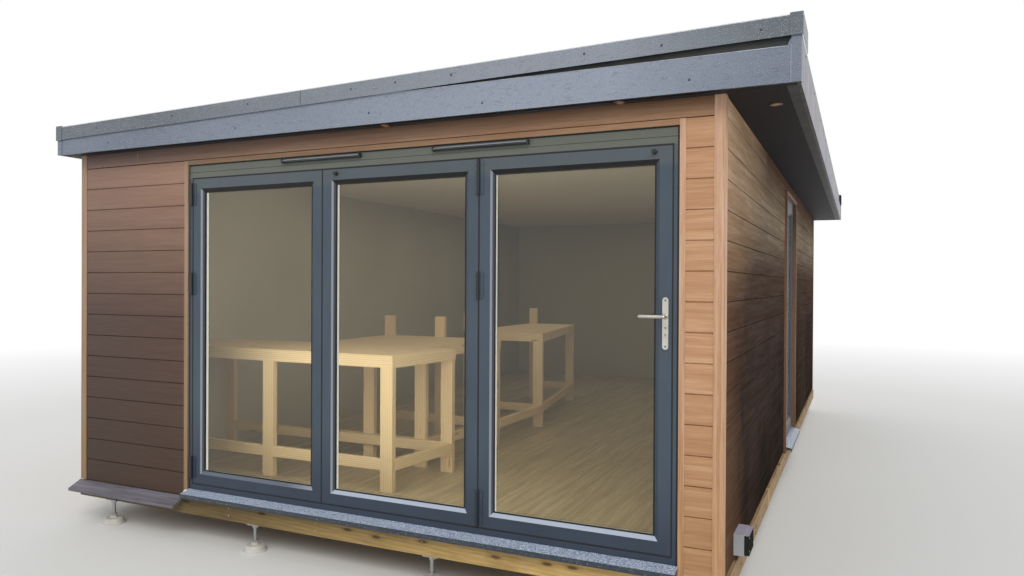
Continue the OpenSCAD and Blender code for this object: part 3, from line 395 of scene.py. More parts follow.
def moulded(name, tone, rough, dusty=0.0, dust="#8c857a", bump=0.0003,
            above=None, below=None, cover=None, daylight=None):
    """Moulded plastic with slight mottling and dust. Faces that look up can take a painted highlight, faces
    that look down painted shade, and all that lies beyond a place along X a tone of its own. Daylight can
    be painted on faces that look right as a faint glow."""
    s = Shade(name, rough=rough)
    grain = s.noise(s.at(), 420, 3, 0.5)
    cloud = s.noise(s.at(), 9, 4, 0.6)
    base = s.mix(s.span(cloud, 0.4, 0.75, 0.0, 0.15 + dusty), tone, dust)
    if cover:
        beyond = s.math("GREATER_THAN", s.axis("X"), cover[0])
        base = s.mix(beyond, base, cover[1])
        s.feed("Specular IOR Level", s.span(beyond, 0, 1, 0.5, 0.0))
    # A faint glow on faces that look right: painted daylight
    if daylight:
        s.feed("Emission Color", lin("#f2f1ec"))
        s.feed("Emission Strength", s.span(s.normal("X"), 0.3, 0.6, 0.0, daylight))
    # Painted highlight on faces that look up, painted shade on faces that look down
    if above:
        base = s.mix(s.span(s.normal("Z"), 0.2, 0.5), base, above)
    if below:
        base = s.mix(s.span(s.normal("Z"), -0.2, -0.5), base, below)
    s.feed("Base Color", base)
    s.bump(grain, bump, 0.5)
    return s.mat


def metal(name, tone, rough):
    """Brushed metal: fine level scratches."""
    s = Shade(name, rough=rough, metallic=1.0)
    scratch = s.noise(s.at(20, 20, 400), 1, 4, 0.6)
    cloud = s.noise(s.at(), 14, 4, 0.6)
    s.feed("Base Color", s.mix(s.span(cloud, 0.4, 0.7, 0.0, 0.35), tone, "#8d8d88"))
    s.feed("Roughness", s.span(scratch, 0.3, 0.7, rough - 0.08, rough + 0.14))
    s.bump(scratch, 0.0001, 0.4)
    return s.mat


def painted_lining():
    """Cream paint on boards, toned a little darker for painted shade in the room, with faint roller marks
    and shade in the far end.
    """
    s = Shade("painted_lining", rough=0.85)
    roller = s.noise(s.at(), 130, 3, 0.6)
    cloud = s.noise(s.at(0.5, 0.5, 0.5), 1, 3, 0.6)
    base = s.mix(s.span(cloud, 0.35, 0.7), "#c0b59e", "#b2a78d")
    s.feed("Base Color", s.tint(s.span(s.axis("Y"), -2.5, 2.5), base, "#d2cdb6"))
    s.feed("Roughness", s.span(roller, 0.3, 0.7, 0.82, 0.95))
    return s.mat


def oak_floor():
    """Pale boards along the room: a tone for each, staggered ends, and grain."""
    s = Shade("oak_floor", rough=0.38)
    wide, long = 0.19, 1.3
    plank = s.math("FLOOR", s.math("DIVIDE", s.axis("X"), wide))
    shift = s.node("TexWhiteNoise", {"W": plank}, noise_dimensions="1D")
    along = s.math("ADD", s.math("DIVIDE", s.axis("Y"), long), shift)
    step = s.math("FLOOR", along)
    board = s.math("ADD", s.times(plank, 13.7), step)
    tone = s.node("TexWhiteNoise", {"W": board}, noise_dimensions="1D")
    seam_x = s.span(s.math("FRACT", s.math("DIVIDE", s.axis("X"), wide)), 0.0, 0.014, 1.0, 0.0)
    seam_y = s.span(s.math("FRACT", along), 0.0, 0.0022, 1.0, 0.0)
    seam = s.math("MAXIMUM", seam_x, seam_y)
    grain = s.noise(s.at(34, 1.6, 1), 1, 5, 0.6, 0.8)
    figure = s.noise(s.at(9, 0.8, 1), 1, 4, 0.6, 1.5)
    wood = s.ramp(grain, (0.3, "#97835f"), (0.52, "#b39e76"), (0.7, "#c7b48d"))
    wood = s.mix(s.span(figure, 0.5, 0.7, 0.0, 0.4), wood, "#8d7852")
    wood = s.mix(s.span(tone, 0, 1, 0.0, 0.3), wood, "#8f7c58")
    wood = s.mix(s.times(seam, 0.7), wood, "#4c3f2b")
    s.feed("Base Color", wood)
    s.bump(s.math("SUBTRACT", 1.0, seam), 0.0008, 0.6)
    s.bump(grain, 0.0002, 0.4)
    return s.mat


def strand_board():
    """Board of pressed wood strands."""
    s = Shade("strand_board", rough=0.75)
    cell = s.cells(s.at(9, 26, 26), 1.0, "Color")
    tone = s.node("SeparateColor", {0: cell})
    fibre = s.noise(s.at(50, 50, 50), 1, 4, 0.6)
    wood = s.ramp(tone, (0.1, "#8c6a3e"), (0.5, "#a9854f"), (0.9, "#c5a56d"))
    s.feed("Base Color", s.mix(s.span(fibre, 0.4, 0.7, 0.0, 0.35), wood, "#6f522f"))
    s.bump(tone, 0.0008, 0.4)
    return s.mat


def weathered_ledge():
    """Grey timber that has stood in the rain."""
    s = Shade("weathered_ledge", rough=0.6)
    grain = s.noise(s.at(2.2, 60, 60), 1, 6, 0.65, 0.6)
    blot = s.noise(s.at(4, 9, 9), 1, 4, 0.6)
    wood = s.ramp(grain, (0.3, "#4f4a52"), (0.5, "#66626b"), (0.7, "#7d7a85"))
    s.feed("Base Color", s.mix(s.span(blot, 0.5, 0.72, 0.0, 0.45), wood, "#453c3a"))
    s.bump(grain, 0.0009, 0.7)
    return s.mat


def sheet_rubber():
    """Roof sheet with laps across it, cloudy greys and standing drops."""
    s = Shade("sheet_rubber", rough=0.5)
    cloud = s.noise(s.at(0.9, 0.9, 1), 1, 5, 0.6)
    base = s.mix(s.span(cloud, 0.4, 0.7), "#2b2d2f", "#45474a")
    lap = s.span(s.math("FRACT", s.math("DIVIDE", s.axis("Y"), 1.4)), 0.0, 0.03, 1.0, 0.0)
    rain(s, base, 0.012, 0.4, "#6f767d")
    s.bump(lap, 0.003, 0.6)
    return s.mat


def clear_glass():
    """Glass with a faint film on it."""
    s = Shade("clear_glass", rough=0.0, color="#eef3f0")
    s.feed("Transmission Weight", 1.0)
    s.feed("IOR", 1.45)
    film = s.noise(s.at(1.4, 1.4, 0.7), 1, 4, 0.6)
    s.feed("Roughness", s.span(film, 0.5, 0.8, 0.0, 0.03))
    return s.mat


def soffit_board(name, tone, other):
    """Dull board in two merging tones."""
    s = Shade(name, rough=0.6)
    s.feed("Specular IOR Level", 0.15)
    cloud = s.noise(s.at(2, 2, 2), 1, 4, 0.6)
    grain = s.noise(s.at(), 260, 3, 0.5)
    s.feed("Base Color", s.mix(s.span(cloud, 0.35, 0.7), tone, other))
    s.bump(grain, 0.0002, 0.5)
    return s.mat


# Tones of boards and trims, from the dark grain to the light
TAN = ("#aa7c58", "#c89871", "#dcb38d")
SIDE = ("#bd9a7f", "#dfbca1", "#f5dcc7")
WALL = ("#996c50", "#ad7c5b", "#bf8e6c")
TRIM = ("#b08060", "#cba182", "#dbb99f")
BEARER = ("#a98750", "#cca968", "#e8c988")
SLATE = "#3c4956"

front_boards = cladding("front_boards", TAN, 1.7, front_shade)
side_boards = cladding("side_boards", SIDE, 4.2, side_shade, 0.0)
plain_boards = cladding("plain_boards", WALL, 8.9)
upright_trim = trim_wood("upright_trim", TRIM)
bearer_wood = sawn_timber("bearer_wood", BEARER, "X", "#7d643c", damp_and_shade="#888a8a")
side_bearer_wood = sawn_timber("side_bearer_wood", ("#7a6142", "#9a7d57", "#b39a74"), "Y", "#5c4a36")
joist_wood = sawn_timber("joist_wood", ("#8a6b3a", "#a98a52", "#c1a269"), "Y")
door_coat = powder_coat("door_coat", SLATE)
# The sill's light blue top is a painted reflection of the sky; its other faces take the darker tone, in
# painted shade
sill_coat = powder_coat("sill_coat", "#7385a2", 0.3, wet_painted_light="#323a45")
hinge_coat = powder_coat("hinge_coat", SLATE, 0.36, knuckle="#1b2025")
# The third tone of each board is a painted reflection of the sky, in the middle of the front
fascia_board = board_plastic("fascia_board", "#6b7484", "#818a9b", "#99a1b2")
side_fascia_board = board_plastic("side_fascia_board", "#6b6973", "#87848d", "#8d8b97", weathered_side)
edge_board = board_plastic("edge_board", "#5d656c", "#727a83", "#969ca8", rough=0.34)
glass = clear_glass()
# The glazing beads glow faintly on faces that look right: painted daylight
white_paint = moulded("white_paint", "#f0efea", 0.35, 0.05, "#c9c2b4", 0.0001, daylight=0.5)
foot_plastic = moulded("foot_plastic", "#cbc9c3", 0.6, 0.35, "#8f8676")
black_plastic = moulded("black_plastic", "#16171a", 0.4)
rubber_seal = moulded("rubber_seal", "#0d0e10", 0.62, 0.1, "#2d2d2d")
# Trickle vents: a painted highlight on top, painted shade below
vent_plastic = moulded("vent_plastic", "#1f2326", 0.3, above="#b4bcc8", below="#0b0d0f")
lid_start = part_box("power_box")[1].x - 0.0235
# The box has a painted highlight on top
box_plastic = moulded("box_plastic", "#a9adb2", 0.45, 0.15, "#7f7c76", above="#a7a2b0",
                      cover=(lid_start, "#2c2f2a"))
backing = moulded("backing_board", "#25282a", 0.55)
soffit = soffit_board("soffit_board", "#19161b", "#221e23")
zinc = metal("zinc", "#aeb1b1", 0.38)
steel = metal("steel", "#cfcdc4", 0.26)
copper = metal("copper", "#8f6a50", 0.4)
dark_screw = metal("dark_screw", "#4a4f55", 0.35)
strands = strand_board()

LOOKS = {
    "levelling_feet": foot_plastic, "foot_screws": zinc, "front_bearer": bearer_wood,
    "middle_bearer": bearer_wood, "rear_bearer": bearer_wood, "side_bearers": side_bearer_wood,
    "floor_joists": joist_wood, "floor_deck": strands, "floor_boards": oak_floor(),
    "wall_lining": painted_lining(),
    "ceiling": moulded("ceiling_paint", "#d9d2c2", 0.8, 0.1, "#c4bba6", 0.0004),
    "front_cladding_left": front_boards, "front_cladding_right": front_boards,
    "front_cladding_head": front_boards, "left_cladding": plain_boards, "right_cladding": side_boards,
    "rear_cladding": plain_boards, "corner_trims": upright_trim, "door_trim": upright_trim,
    "side_trims": upright_trim, "base_ledge": weathered_ledge(), "roof_membrane": sheet_rubber(),
    "roof_edge_trims": edge_board, "roof_corner_caps": edge_board, "fascia_backing": backing,
    "front_fascia": fascia_board, "right_fascia": side_fascia_board, "left_fascia": side_fascia_board,
    "rear_fascia": fascia_board, "fascia_corner_posts": fascia_board, "soffit_boards": soffit,
    "soffit_vent": soffit, "soffit_lights": copper, "door_sill": sill_coat, "side_sill": sill_coat,
    "door_frame": door_coat, "left_leaf": door_coat, "middle_leaf": door_coat, "right_leaf": door_coat,
    "side_window": door_coat, "door_glass": glass, "side_glass": glass, "glazing_beads": white_paint,
    "door_hinges": hinge_coat, "door_handle": steel, "door_catches": black_plastic,
    "trickle_vents": vent_plastic, "power_box": box_plastic,
}
# The other nodes are hidden in the walls and roof, or are replaced below
for name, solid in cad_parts.items():
    solid.data.materials.clear()
    solid.data.materials.append(LOOKS.get(name, strands))


# Pieces

def piece(name, verts, faces, material, slot, replaces=(), smooth=False):
    """A mesh in the frame's own coordinates that rides on the building."""
    mesh = bpy.data.meshes.new(name)
    mesh.from_pydata(verts, [], faces)
    mesh.validate()
    mesh.update()
    mesh.materials.append(material)
    if smooth:
        mesh.polygons.foreach_set("use_smooth", [True] * len(mesh.polygons))
    made = bpy.data.objects.new(name, mesh)
    scene.collection.objects.link(made)
    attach(made, "root")
    if replaces:
        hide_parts(*replaces)
    return made


def stamp(verts, faces, places):
    """Copies of one small mesh, each moved by its own matrix."""
    all_verts, all_faces = [], []
    for place in places:
        start = len(all_verts)
        all_verts += [place @ Vector(v) for v in verts]
        all_faces += [[start + i for i in f] for f in faces]
    return all_verts, all_faces


def dome(r, h, sides, rings):
    """A low dome on the XY plane, its top towards +Z."""
    verts, faces = [], []
    for k in range(rings):
        a = math.pi / 2 * k / rings
        verts += [(r * math.cos(a) * math.cos(t), r * math.cos(a) * math.sin(t), h * math.sin(a))
                  for t in (2 * math.pi * i / sides for i in range(sides))]
    verts.append((0, 0, h))
    for k in range(rings - 1):
        for i in range(sides):
            j = (i + 1) % sides
            faces.append([k * sides + i, k * sides + j, (k + 1) * sides + j, (k + 1) * sides + i])
    last = (rings - 1) * sides
    faces += [[last + i, last + (i + 1) % sides, len(verts) - 1] for i in range(sides)]
    return verts, faces


def facing(place, normal, spin=0.0, scale=1.0):
    """A matrix that stands +Z along the normal at the place."""
    turn = Vector((0, 0, 1)).rotation_difference(Vector(normal)).to_matrix().to_4x4()
    size = Matrix.Diagonal((scale, scale, scale, 1))
    return Matrix.Translation(place) @ turn @ Matrix.Rotation(spin, 4, "Z") @ size


def screw_head(r):
    """A pan head with a round recess in its top."""
    sides, rings, recess = 12, 3, 0.45
    top, rim = (rings - 1) * sides, rings * sides
    verts, faces = dome(r, r * 0.45, sides, rings)
    verts, faces = verts[:rim], [f for f in faces if len(f) == 4]
    verts += [(x * recess, y * recess, z - r * 0.1) for x, y, z in verts[top:rim]]
    for i in range(sides):
        j = (i + 1) % sides
        faces.append([top + i, top + j, rim + j, rim + i])
    faces.append([rim + i for i in range(sides)])
    return verts, faces


def screws(name, places, normal, r, material, slot):
    """Screw heads on a face, each turned its own way."""
    heads = [facing(p, normal, rng.uniform(0, 3)) for p in places]
    piece(name, *stamp(*screw_head(r), heads), material, slot, smooth=True)


def bar(lo, hi, c=0.0):
    """A box with its edges taken off by c."""
    lo, hi = Vector(lo), Vector(hi)
    if not c:
        verts = [(x, y, z) for x in (lo.x, hi.x) for y in (lo.y, hi.y) for z in (lo.z, hi.z)]
        return verts, [[0, 1, 3, 2], [4, 6, 7, 5], [0, 4, 5, 1], [2, 3, 7, 6], [0, 2, 6, 4], [1, 5, 7, 3]]
    corners = list(product((0, 1), repeat=3))
    verts, index = [], {}
    for corner in corners:
        inward = [-c if s else c for s in corner]
        for flat in range(3):
            index[(*corner, flat)] = len(verts)
            verts.append([(lo, hi)[s][k] + inward[k] * (k != flat) for k, s in enumerate(corner)])

    def at(ends, face):
        """The vertex on one face of the corner at these ends of the axes."""
        return index[(*[ends[k] for k in range(3)], face)]

    faces = []
    for flat in range(3):
        a, b = [k for k in range(3) if k != flat]
        for end in (0, 1):
            ring = [at({flat: end, a: sa, b: sb}, flat) for sa, sb in ((0, 0), (1, 0), (1, 1), (0, 1))]
            faces.append(ring if (end == 1) == (flat != 1) else ring[::-1])
        for sa, sb in product((0, 1), repeat=2):
            around = ((0, a), (0, b), (1, b), (1, a))
            faces.append([at({flat: end, a: sa, b: sb}, face) for end, face in around])
    faces += [[index[(*corner, k)] for k in range(3)] for corner in corners]
    return verts, faces


def joined(parts):
    """Several meshes as one."""
    verts, faces = [], []
    for v, f in parts:
        start = len(verts)
        verts += [tuple(p) for p in v]
        faces += [[start + i for i in face] for face in f]
    return verts, faces


# Benches: each rail, leg and top is a board of its own, with the grain along it

def bench_wood():
    """Planed softwood, whose grain follows each board's own map."""
    s = Shade("bench_wood", rough=0.72)
    uv = s.node("TexCoord", {}, "UV")

    def mapped(*scale):
        return s.node("Mapping", {"Vector": uv, "Scale": scale})

    lines = s.node("TexWave", {
        "Vector": mapped(0.5, 24, 1), "Scale": 1.0, "Distortion": 3.0,
        "Detail": 3.0, "Detail Scale": 0.8}, 1, bands_direction="Y")
    fibre = s.noise(mapped(5, 260, 1), 1, 4, 0.6)
    ring = s.span(s.cells(mapped(2.4, 11, 1), 1.0), 0.04, 0.12, 1.0, 0.0)
    wood = s.ramp(s.share(lines, fibre, 0.45), (0.25, "#cfad7d"), (0.5, "#dcbc8b"), (0.75, "#e5ca9e"))
    wood = s.mix(s.times(ring, 0.7), wood, "#8a5f38")
    blot = s.noise(mapped(1.3, 3, 1), 1, 3, 0.6)
    s.feed("Base Color", s.mix(s.span(blot, 0.5, 0.75, 0.0, 0.25), wood, "#b9996b"))
    s.bump(fibre, 0.0005, 0.8)
    s.bump(ring, 0.001, 0.5)
    return s.mat


def grain_map(mesh, boards):
    """Runs u along each board and v across it, with a shift of its own for each board."""
    layer = mesh.uv_layers.new(name="grain")
    cross_shift = 0.37
    for poly in mesh.polygons:
        first = poly.vertices[0]
        board = next(b for b in boards if b["start"] <= first < b["end"])
        u = board["along"]
        n = max(range(3), key=lambda k: abs(poly.normal[k]))
        others = [k for k in range(3) if k not in (u, n)] or [k for k in range(3) if k != u]
        for loop in poly.loop_indices:
            at = mesh.vertices[mesh.loops[loop].vertex_index].co
            layer.data[loop].uv = (at[u] + board["shift"], at[others[0]] + board["shift"] * cross_shift)


def inset(points, c):
    """The corners of an outline, listed anticlockwise, moved in by c from both of their sides."""
    points = [Vector(p) for p in points]
    out = []
    for i, p in enumerate(points):
        a, b = (p - points[i - 1]).normalized(), (points[(i + 1) % len(points)] - p).normalized()
        a, b = Vector((-a.y, a.x)), Vector((-b.y, b.x))
        out.append(p + (a + b) * (c / (1 + a.dot(b))))
    return out


def prism(points, z0, z1):
    """An upright block over an outline, with its top and bottom edges eased."""
    n, c = len(points), 0.0015
    rings = [(inset(points, c), z0), (points, z0 + c), (points, z1 - c), (inset(points, c), z1)]
    verts = [(p[0], p[1], z) for ring_points, z in rings for p in ring_points]
    faces = [[n - 1 - i for i in range(n)], [3 * n + i for i in range(n)]]
    faces += [[k * n + i, k * n + (i + 1) % n, (k + 1) * n + (i + 1) % n, (k + 1) * n + i]
              for k in range(3) for i in range(n)]
    return verts, faces


BENCH_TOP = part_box("front_workbench")[1].z
BENCH_T, LEG_W, RAIL_H, LOW_RAIL_Z, SHEET_T = 0.038, 0.089, 0.069, 0.132, 0.009
ALONG_X, ALONG_Y, UPRIGHT = 0, 1, 2


def bench(node, x1, skew, y1, legs, tall_from=2, link=None):
    """A bench with a left side that is square to the front and a right side that slants: x1 is the
    right side at the front, and skew is how far it runs out on the way back to y1. Two rows of legs
    carry the bench, the front one 0 and the back one 1. From the row tall_from on, all but the last
    leg rise above the top. A link is where a low rail that leads on from the slanting side ends."""
    lo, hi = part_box(node)
    x0, y0, top, t = lo.x, lo.y, BENCH_TOP, BENCH_T
    under = top - SHEET_T
    rail_z, low_z = under - RAIL_H, lo.z + LOW_RAIL_Z
    boards, parts = [], []

    def side(y):
        return x1 + skew * (y - y0) / (y1 - y0)

    def add(along, points, z0, z1):
        made = prism(points, z0, z1)
        start = sum(len(p[0]) for p in parts)
        end = start + len(made[0])
        boards.append({"start": start, "end": end, "along": along, "shift": rng.uniform(0, 9)})
        parts.append(made)

    def row(xa, xb, ya, yb, z0, z1, along=ALONG_X):
        """A board between two places along X; None stands for the slanting side."""
        right_a, right_b = (side(ya), side(yb)) if xb is None else (xb, xb)
        add(along, [(xa, ya), (right_a, ya), (right_b, yb), (xa, yb)], z0, z1)

    def slant(off, z0, z1):
        """A board along the inside of the slanting side."""
        ya, yb = y0 + t, y1 - t
        a, b = side(ya), side(yb)
        add(ALONG_Y, [(a - t, ya), (a - off, ya), (b - off, yb), (b - t, yb)], z0, z1)

    row(x0, None, y0, y1, under, top, ALONG_X if x1 - x0 > y1 - y0 else ALONG_Y)
    row(x0, None, y0, y0 + t, rail_z, under)
    row(x0, None, y1 - t, y1, rail_z, under)
    row(x0, x0 + t, y0 + t, y1 - t, rail_z, under, ALONG_Y)
    slant(0.0, rail_z, under)
    slant(0.002, low_z, low_z + RAIL_H)
    heads = []
    for j, y in enumerate((y0, y1 - t)):
        end = min(side(y), side(y + t))
        xs = [x0 + i * (end - LEG_W - x0) / (legs - 1) for i in range(legs)]
        for i, x in enumerate(xs):
            tall = j >= tall_from and i < legs - 1
            row(x, x + LEG_W, y, y + t, lo.z, hi.z if tall else rail_z, UPRIGHT)
            if not j:
                heads += [(x + dx, y, rail_z + dz) for dx in (0.022, 0.066) for dz in (0.022, 0.048)]
        for a, b in zip(xs, xs[1:]):
            row(a + LEG_W, b, y + 0.002, y + t - 0.002, low_z, low_z + RAIL_H)
    if link:
        x2, y2 = link
        end = side(y1)
        add(ALONG_Y, [(end - t, y1), (end, y1), (x2, y2), (x2 - t, y2)], low_z, low_z + RAIL_H)
    made = piece(node + "_boards", *joined(parts), BENCH, "bench_timber", [node])
    grain_map(made.data, boards)
    screws(node + "_screws", heads, FRONT, 0.0035, zinc, "zinc")


BENCH = bench_wood()
lo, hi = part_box("front_workbench")
bench("front_workbench", x1=hi.x - 0.090, skew=0.090, y1=hi.y, legs=3)
lo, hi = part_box("middle_workbench")
bench("middle_workbench", x1=lo.x + 0.960, skew=0.130, y1=lo.y + 0.950, legs=3, tall_from=1,
      link=(hi.x, hi.y))
lo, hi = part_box("rear_workbench")
bench("rear_workbench", x1=hi.x, skew=-0.285, y1=hi.y, legs=2, tall_from=0)


# Door and side window: seals, screws, the lock's slot, the handle's collar and hinge caps

# Width of a leaf's rails and stiles, and how far its glass lies behind its face
SIGHT, GLASS_BACK = 0.078, 0.018
# How much of the side window's glass its frame covers on each side
COVERED = 0.014


def seal_ring(lo, hi, plane, axis, out):
    """Four strips of seal round a pane. The strips lie in a plane across the axis."""
    wide, deep = 0.008, 0.0028
    a = 0 if axis == 1 else 1
    in_lo, in_hi = lo[a] + wide, hi[a] - wide
    strips = []
    for x0, x1, z0, z1 in (
            (lo[a], in_lo, lo[2], hi[2]), (in_hi, hi[a], lo[2], hi[2]),
            (in_lo, in_hi, lo[2], lo[2] + wide), (in_lo, in_hi, hi[2] - wide, hi[2])):
        low, high = [0, 0, z0], [0, 0, z1]
        low[a], high[a] = x0, x1
        low[axis], high[axis] = sorted((plane, plane + out * deep))
        strips.append(bar(low, high, 0.0008))
    return strips


seals = []
for leaf in LEAVES:
    lo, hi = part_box(leaf)
    frame_in = Vector((SIGHT, 0, SIGHT))
    seals += seal_ring(lo + frame_in, hi - frame_in, lo.y + GLASS_BACK, 1, -1)
lo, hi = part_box("side_glass")
frame_in = Vector((0, COVERED, COVERED))
seals += seal_ring(lo + frame_in, hi - frame_in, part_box("side_window")[1].x - GLASS_BACK, 0, 1)
piece("glazing_seals", *joined(seals), rubber_seal, "black_plastic")

# Rubber lips that close the gaps round each leaf
GAP, LAST_GAP, LAP = 0.0075, 0.0065, 0.001
lips = []
for leaf in LEAVES:
    lo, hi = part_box(leaf)
    front, back = lo.y - 0.0006, lo.y + 0.010
    lips.append(bar((lo.x - GAP, front, lo.z - GAP), (lo.x + LAP, back, hi.z + GAP)))
    lips.append(bar((lo.x, front, hi.z - LAP), (hi.x, back, hi.z + GAP)))
    lips.append(bar((lo.x, front, lo.z - GAP), (hi.x, back, lo.z + LAP)))
# The right leaf's lock side
lips.append(bar((hi.x - LAP, front, lo.z - GAP), (hi.x + LAST_GAP, back, hi.z + GAP)))
# Dark strips between the frame and the trims, widest on the right: painted shadow of the gap where the
# trims stand proud of the frame
left_in, right_in, head_z = door_lo.x + 0.004, door_hi.x - 0.011, door_hi.z - 0.008
for x0, x1, z0 in (
        (right_in, door_hi.x, door_lo.z), (door_lo.x, left_in, door_lo.z), (left_in, right_in, head_z)):
    lips.append(bar((x0, door_lo.y - 0.0015, z0), (x1, door_lo.y + 0.001, door_hi.z)))
piece("leaf_seals_and_gap_shadows", *joined(lips), rubber_seal, "black_plastic")

# Handle: fixing screws, the lock's slot and a collar at the spindle
plate_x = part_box("door_handle")[1].x - 0.014
plate_face = door_lo.y - 0.010
plate_mid = ORIGIN.z + 1.1
heads = [(plate_x, plate_face, plate_mid + dz) for dz in (0.105, -0.02, -0.105)]
screws("handle_screws", heads, FRONT, 0.004, dark_screw, "steel_handle")
piece("lock_slot", *bar((plate_x - 0.0016, plate_face - 0.0045, plate_mid - 0.058),
                        (plate_x + 0.0016, plate_face - 0.0038, plate_mid - 0.046)),
      black_plastic, "black_plastic")


def ring(center, r_in, r_out, depth, axis):
    """A flat ring round an axis, with rounded edges."""
    sides = 28
    section = [(r_in, 0.0), (r_in, depth * 0.8), (r_in + depth * 0.2, depth), (r_out - depth * 0.4, depth),
               (r_out, depth * 0.5), (r_out, 0.0)]
    verts = [(r * math.cos(t), r * math.sin(t), z) for t in (2 * math.pi * i / sides for i in range(sides))
             for r, z in section]
    n = len(section)
    faces = [[i * n + k, (i + 1) % sides * n + k, (i + 1) % sides * n + (k + 1) % n, i * n + (k + 1) % n]
             for i in range(sides) for k in range(n)]
    place = facing(center, axis)
    return [place @ Vector(v) for v in verts], faces


piece("handle_collar", *ring((plate_x, plate_face, plate_mid + 0.032), 0.0088, 0.0128, 0.004, FRONT),
      steel, "steel_handle", smooth=True)

# Hinge pins' caps, and the screws of each flap
low_z, mid_z, top_z = ORIGIN.z + 0.137, door_hi.z - 0.732, door_hi.z - 0.182
FLAP_X, PIN_GAP = 0.019, 0.003
# Half heights of the plain hinges, and of the right leaf's at its top and bottom
HALF_SHORT, HALF_LONG = 0.065, 0.086
pins, heads = [], []
for leaf, half_end in (("left_leaf", HALF_SHORT), ("right_leaf", HALF_LONG)):
    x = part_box(leaf)[0].x - PIN_GAP
    for z in (low_z, mid_z, top_z):
        half = HALF_SHORT if z == mid_z else half_end
        pins += [facing((x, door_lo.y - 0.012, z + way * half), (0, 0, way)) for way in (-1, 1)]
        heads += [(x + way * FLAP_X, door_lo.y - 0.004, z + part * half)
                  for part in (-0.7, -0.25, 0.25, 0.7) for way in (1, -1)]
piece("hinge_caps", *stamp(*dome(0.0078, 0.004, 16, 3), pins), black_plastic, "hinge_metal", smooth=True)
screws("hinge_screws", heads, FRONT, 0.0038, dark_screw, "hinge_metal")


# Roof edge and fascia: screws, butt joints, and lips of rain water with a painted highlight

# Half the width over the front trim, and where the face of the right trim stands
cap_lo, cap_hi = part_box("roof_corner_caps")
half_w = cap_hi.x - 0.002
side_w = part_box("right_fascia")[1].x - 0.012
edge_y = roof_lo.y
TRIM_H, SCREW_DROP = 0.088, 0.045
# The front's fall from right to left, over this width
FALL, FALL_WIDTH = 0.095, 4.615


def edge_top(x):
    """Height of the front trim's top edge."""
    return roof_hi.z - (half_w - x) * (FALL / FALL_WIDTH)


heads = [(ORIGIN.x + dx, edge_y + 0.001, edge_top(ORIGIN.x + dx) - TRIM_H * rng.uniform(0.42, 0.62))
         for dx in (-3.72, -3.05, -2.45, -1.73, -1.45, -1.12, -0.42, -0.06, 0.36)]
screws("edge_screws", heads, FRONT, 0.007, dark_screw, "edge_plastic")
side_y = [edge_y + 0.5 + 0.75 * i for i in range(9)]
heads = [(side_w, y, roof_hi.z - SCREW_DROP) for y in side_y]
screws("side_edge_screws", heads, RIGHT, 0.007, dark_screw, "edge_plastic")
heads = [(0.001 - half_w, y, edge_top(-half_w) - SCREW_DROP) for y in side_y]
screws("left_edge_screws", heads, LEFT, 0.007, dark_screw, "edge_plastic")
heads = [(x, cap_lo.y + 0.0024, top - dz) for x, top in (
    (cap_hi.x - 0.026, roof_hi.z), (cap_lo.x + 0.026, edge_top(cap_lo.x))) for dz in (0.018, 0.066)]
screws("cap_screws", heads, FRONT, 0.005, dark_screw, "edge_plastic")
fascia_lo, fascia_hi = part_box("front_fascia")
heads = [(ORIGIN.x + dx, fascia_lo.y, fascia_lo.z + dz) for dx, dz in (
    (-3.62, 0.05), (-2.55, 0.055), (-1.62, 0.06), (-0.95, 0.05), (0.06, 0.055))]
screws("fascia_screws", heads, FRONT, 0.006, dark_screw, "fascia_plastic")

joint_x, JOINT_W = ORIGIN.x - 2.07, 0.002
joints = [bar((joint_x, edge_y - 0.0006, edge_top(joint_x) - TRIM_H),
              (joint_x + JOINT_W, edge_y + 0.001, edge_top(joint_x) - 0.004))]
for y in (-1.2, 1.25):
    joints.append(bar((side_w - 0.001, y, roof_hi.z - TRIM_H),
                      (side_w + 0.0006, y + JOINT_W, roof_hi.z - 0.006)))
piece("edge_joints", *joined(joints), rubber_seal, "edge_plastic")

# Painted highlight: a light, glossy tone for the lips of rain water
wet_painted_light = Shade("wet_highlight_edge", rough=0.16)
wet_cloud = wet_painted_light.noise(wet_painted_light.at(3, 3, 3), 1, 5, 0.7)
wet_painted_light.feed("Base Color", wet_painted_light.ramp(wet_cloud, (0.35, "#7d8590"), (0.6, "#c9ced6")))
wet_painted_light.bump(wet_painted_light.noise(wet_painted_light.at(), 160, 3, 0.6), 0.0008, 0.7)

# One lip of rain water over the fascia, and one down the edge of its corner post, both light with a painted
# highlight
post_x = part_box("fascia_corner_posts")[1].x
lips = [bar((fascia_lo.x + 1.0, fascia_lo.y - 0.0015, fascia_lo.z + 0.1505),
            (post_x - 0.055, fascia_lo.y + 0.004, fascia_lo.z + 0.1535), 0.001),
        bar((post_x - 0.0425, fascia_lo.y - 0.0028, fascia_lo.z),
            (post_x - 0.0395, fascia_lo.y + 0.001, fascia_lo.z + 0.16), 0.001)]
piece("fascia_wet_highlight_lips", *joined(lips), wet_painted_light.mat, "fascia_plastic")


# Rain drops on the fascia, the front trim and the sill

def drops(name, spots, sizes, slot):
    """Rain drops that stand on a face: each spot is a place and the way that its face looks."""
    places = [facing(p, n, rng.uniform(0, 3), rng.uniform(*sizes)) for p, n in spots]
    piece(name, *stamp(*dome(1.0, 0.55, 7, 2), places), DROP, slot, smooth=True)


water = Shade("rain_drop", rough=0.03, color="#e9edf2")
water.feed("Transmission Weight", 0.75)
water.feed("IOR", 1.33)
DROP = water.mat
FASCIA_DROPS, TRIM_DROPS, SILL_DROPS, EDGE_DROPS = 2600, 1500, 3000, 500

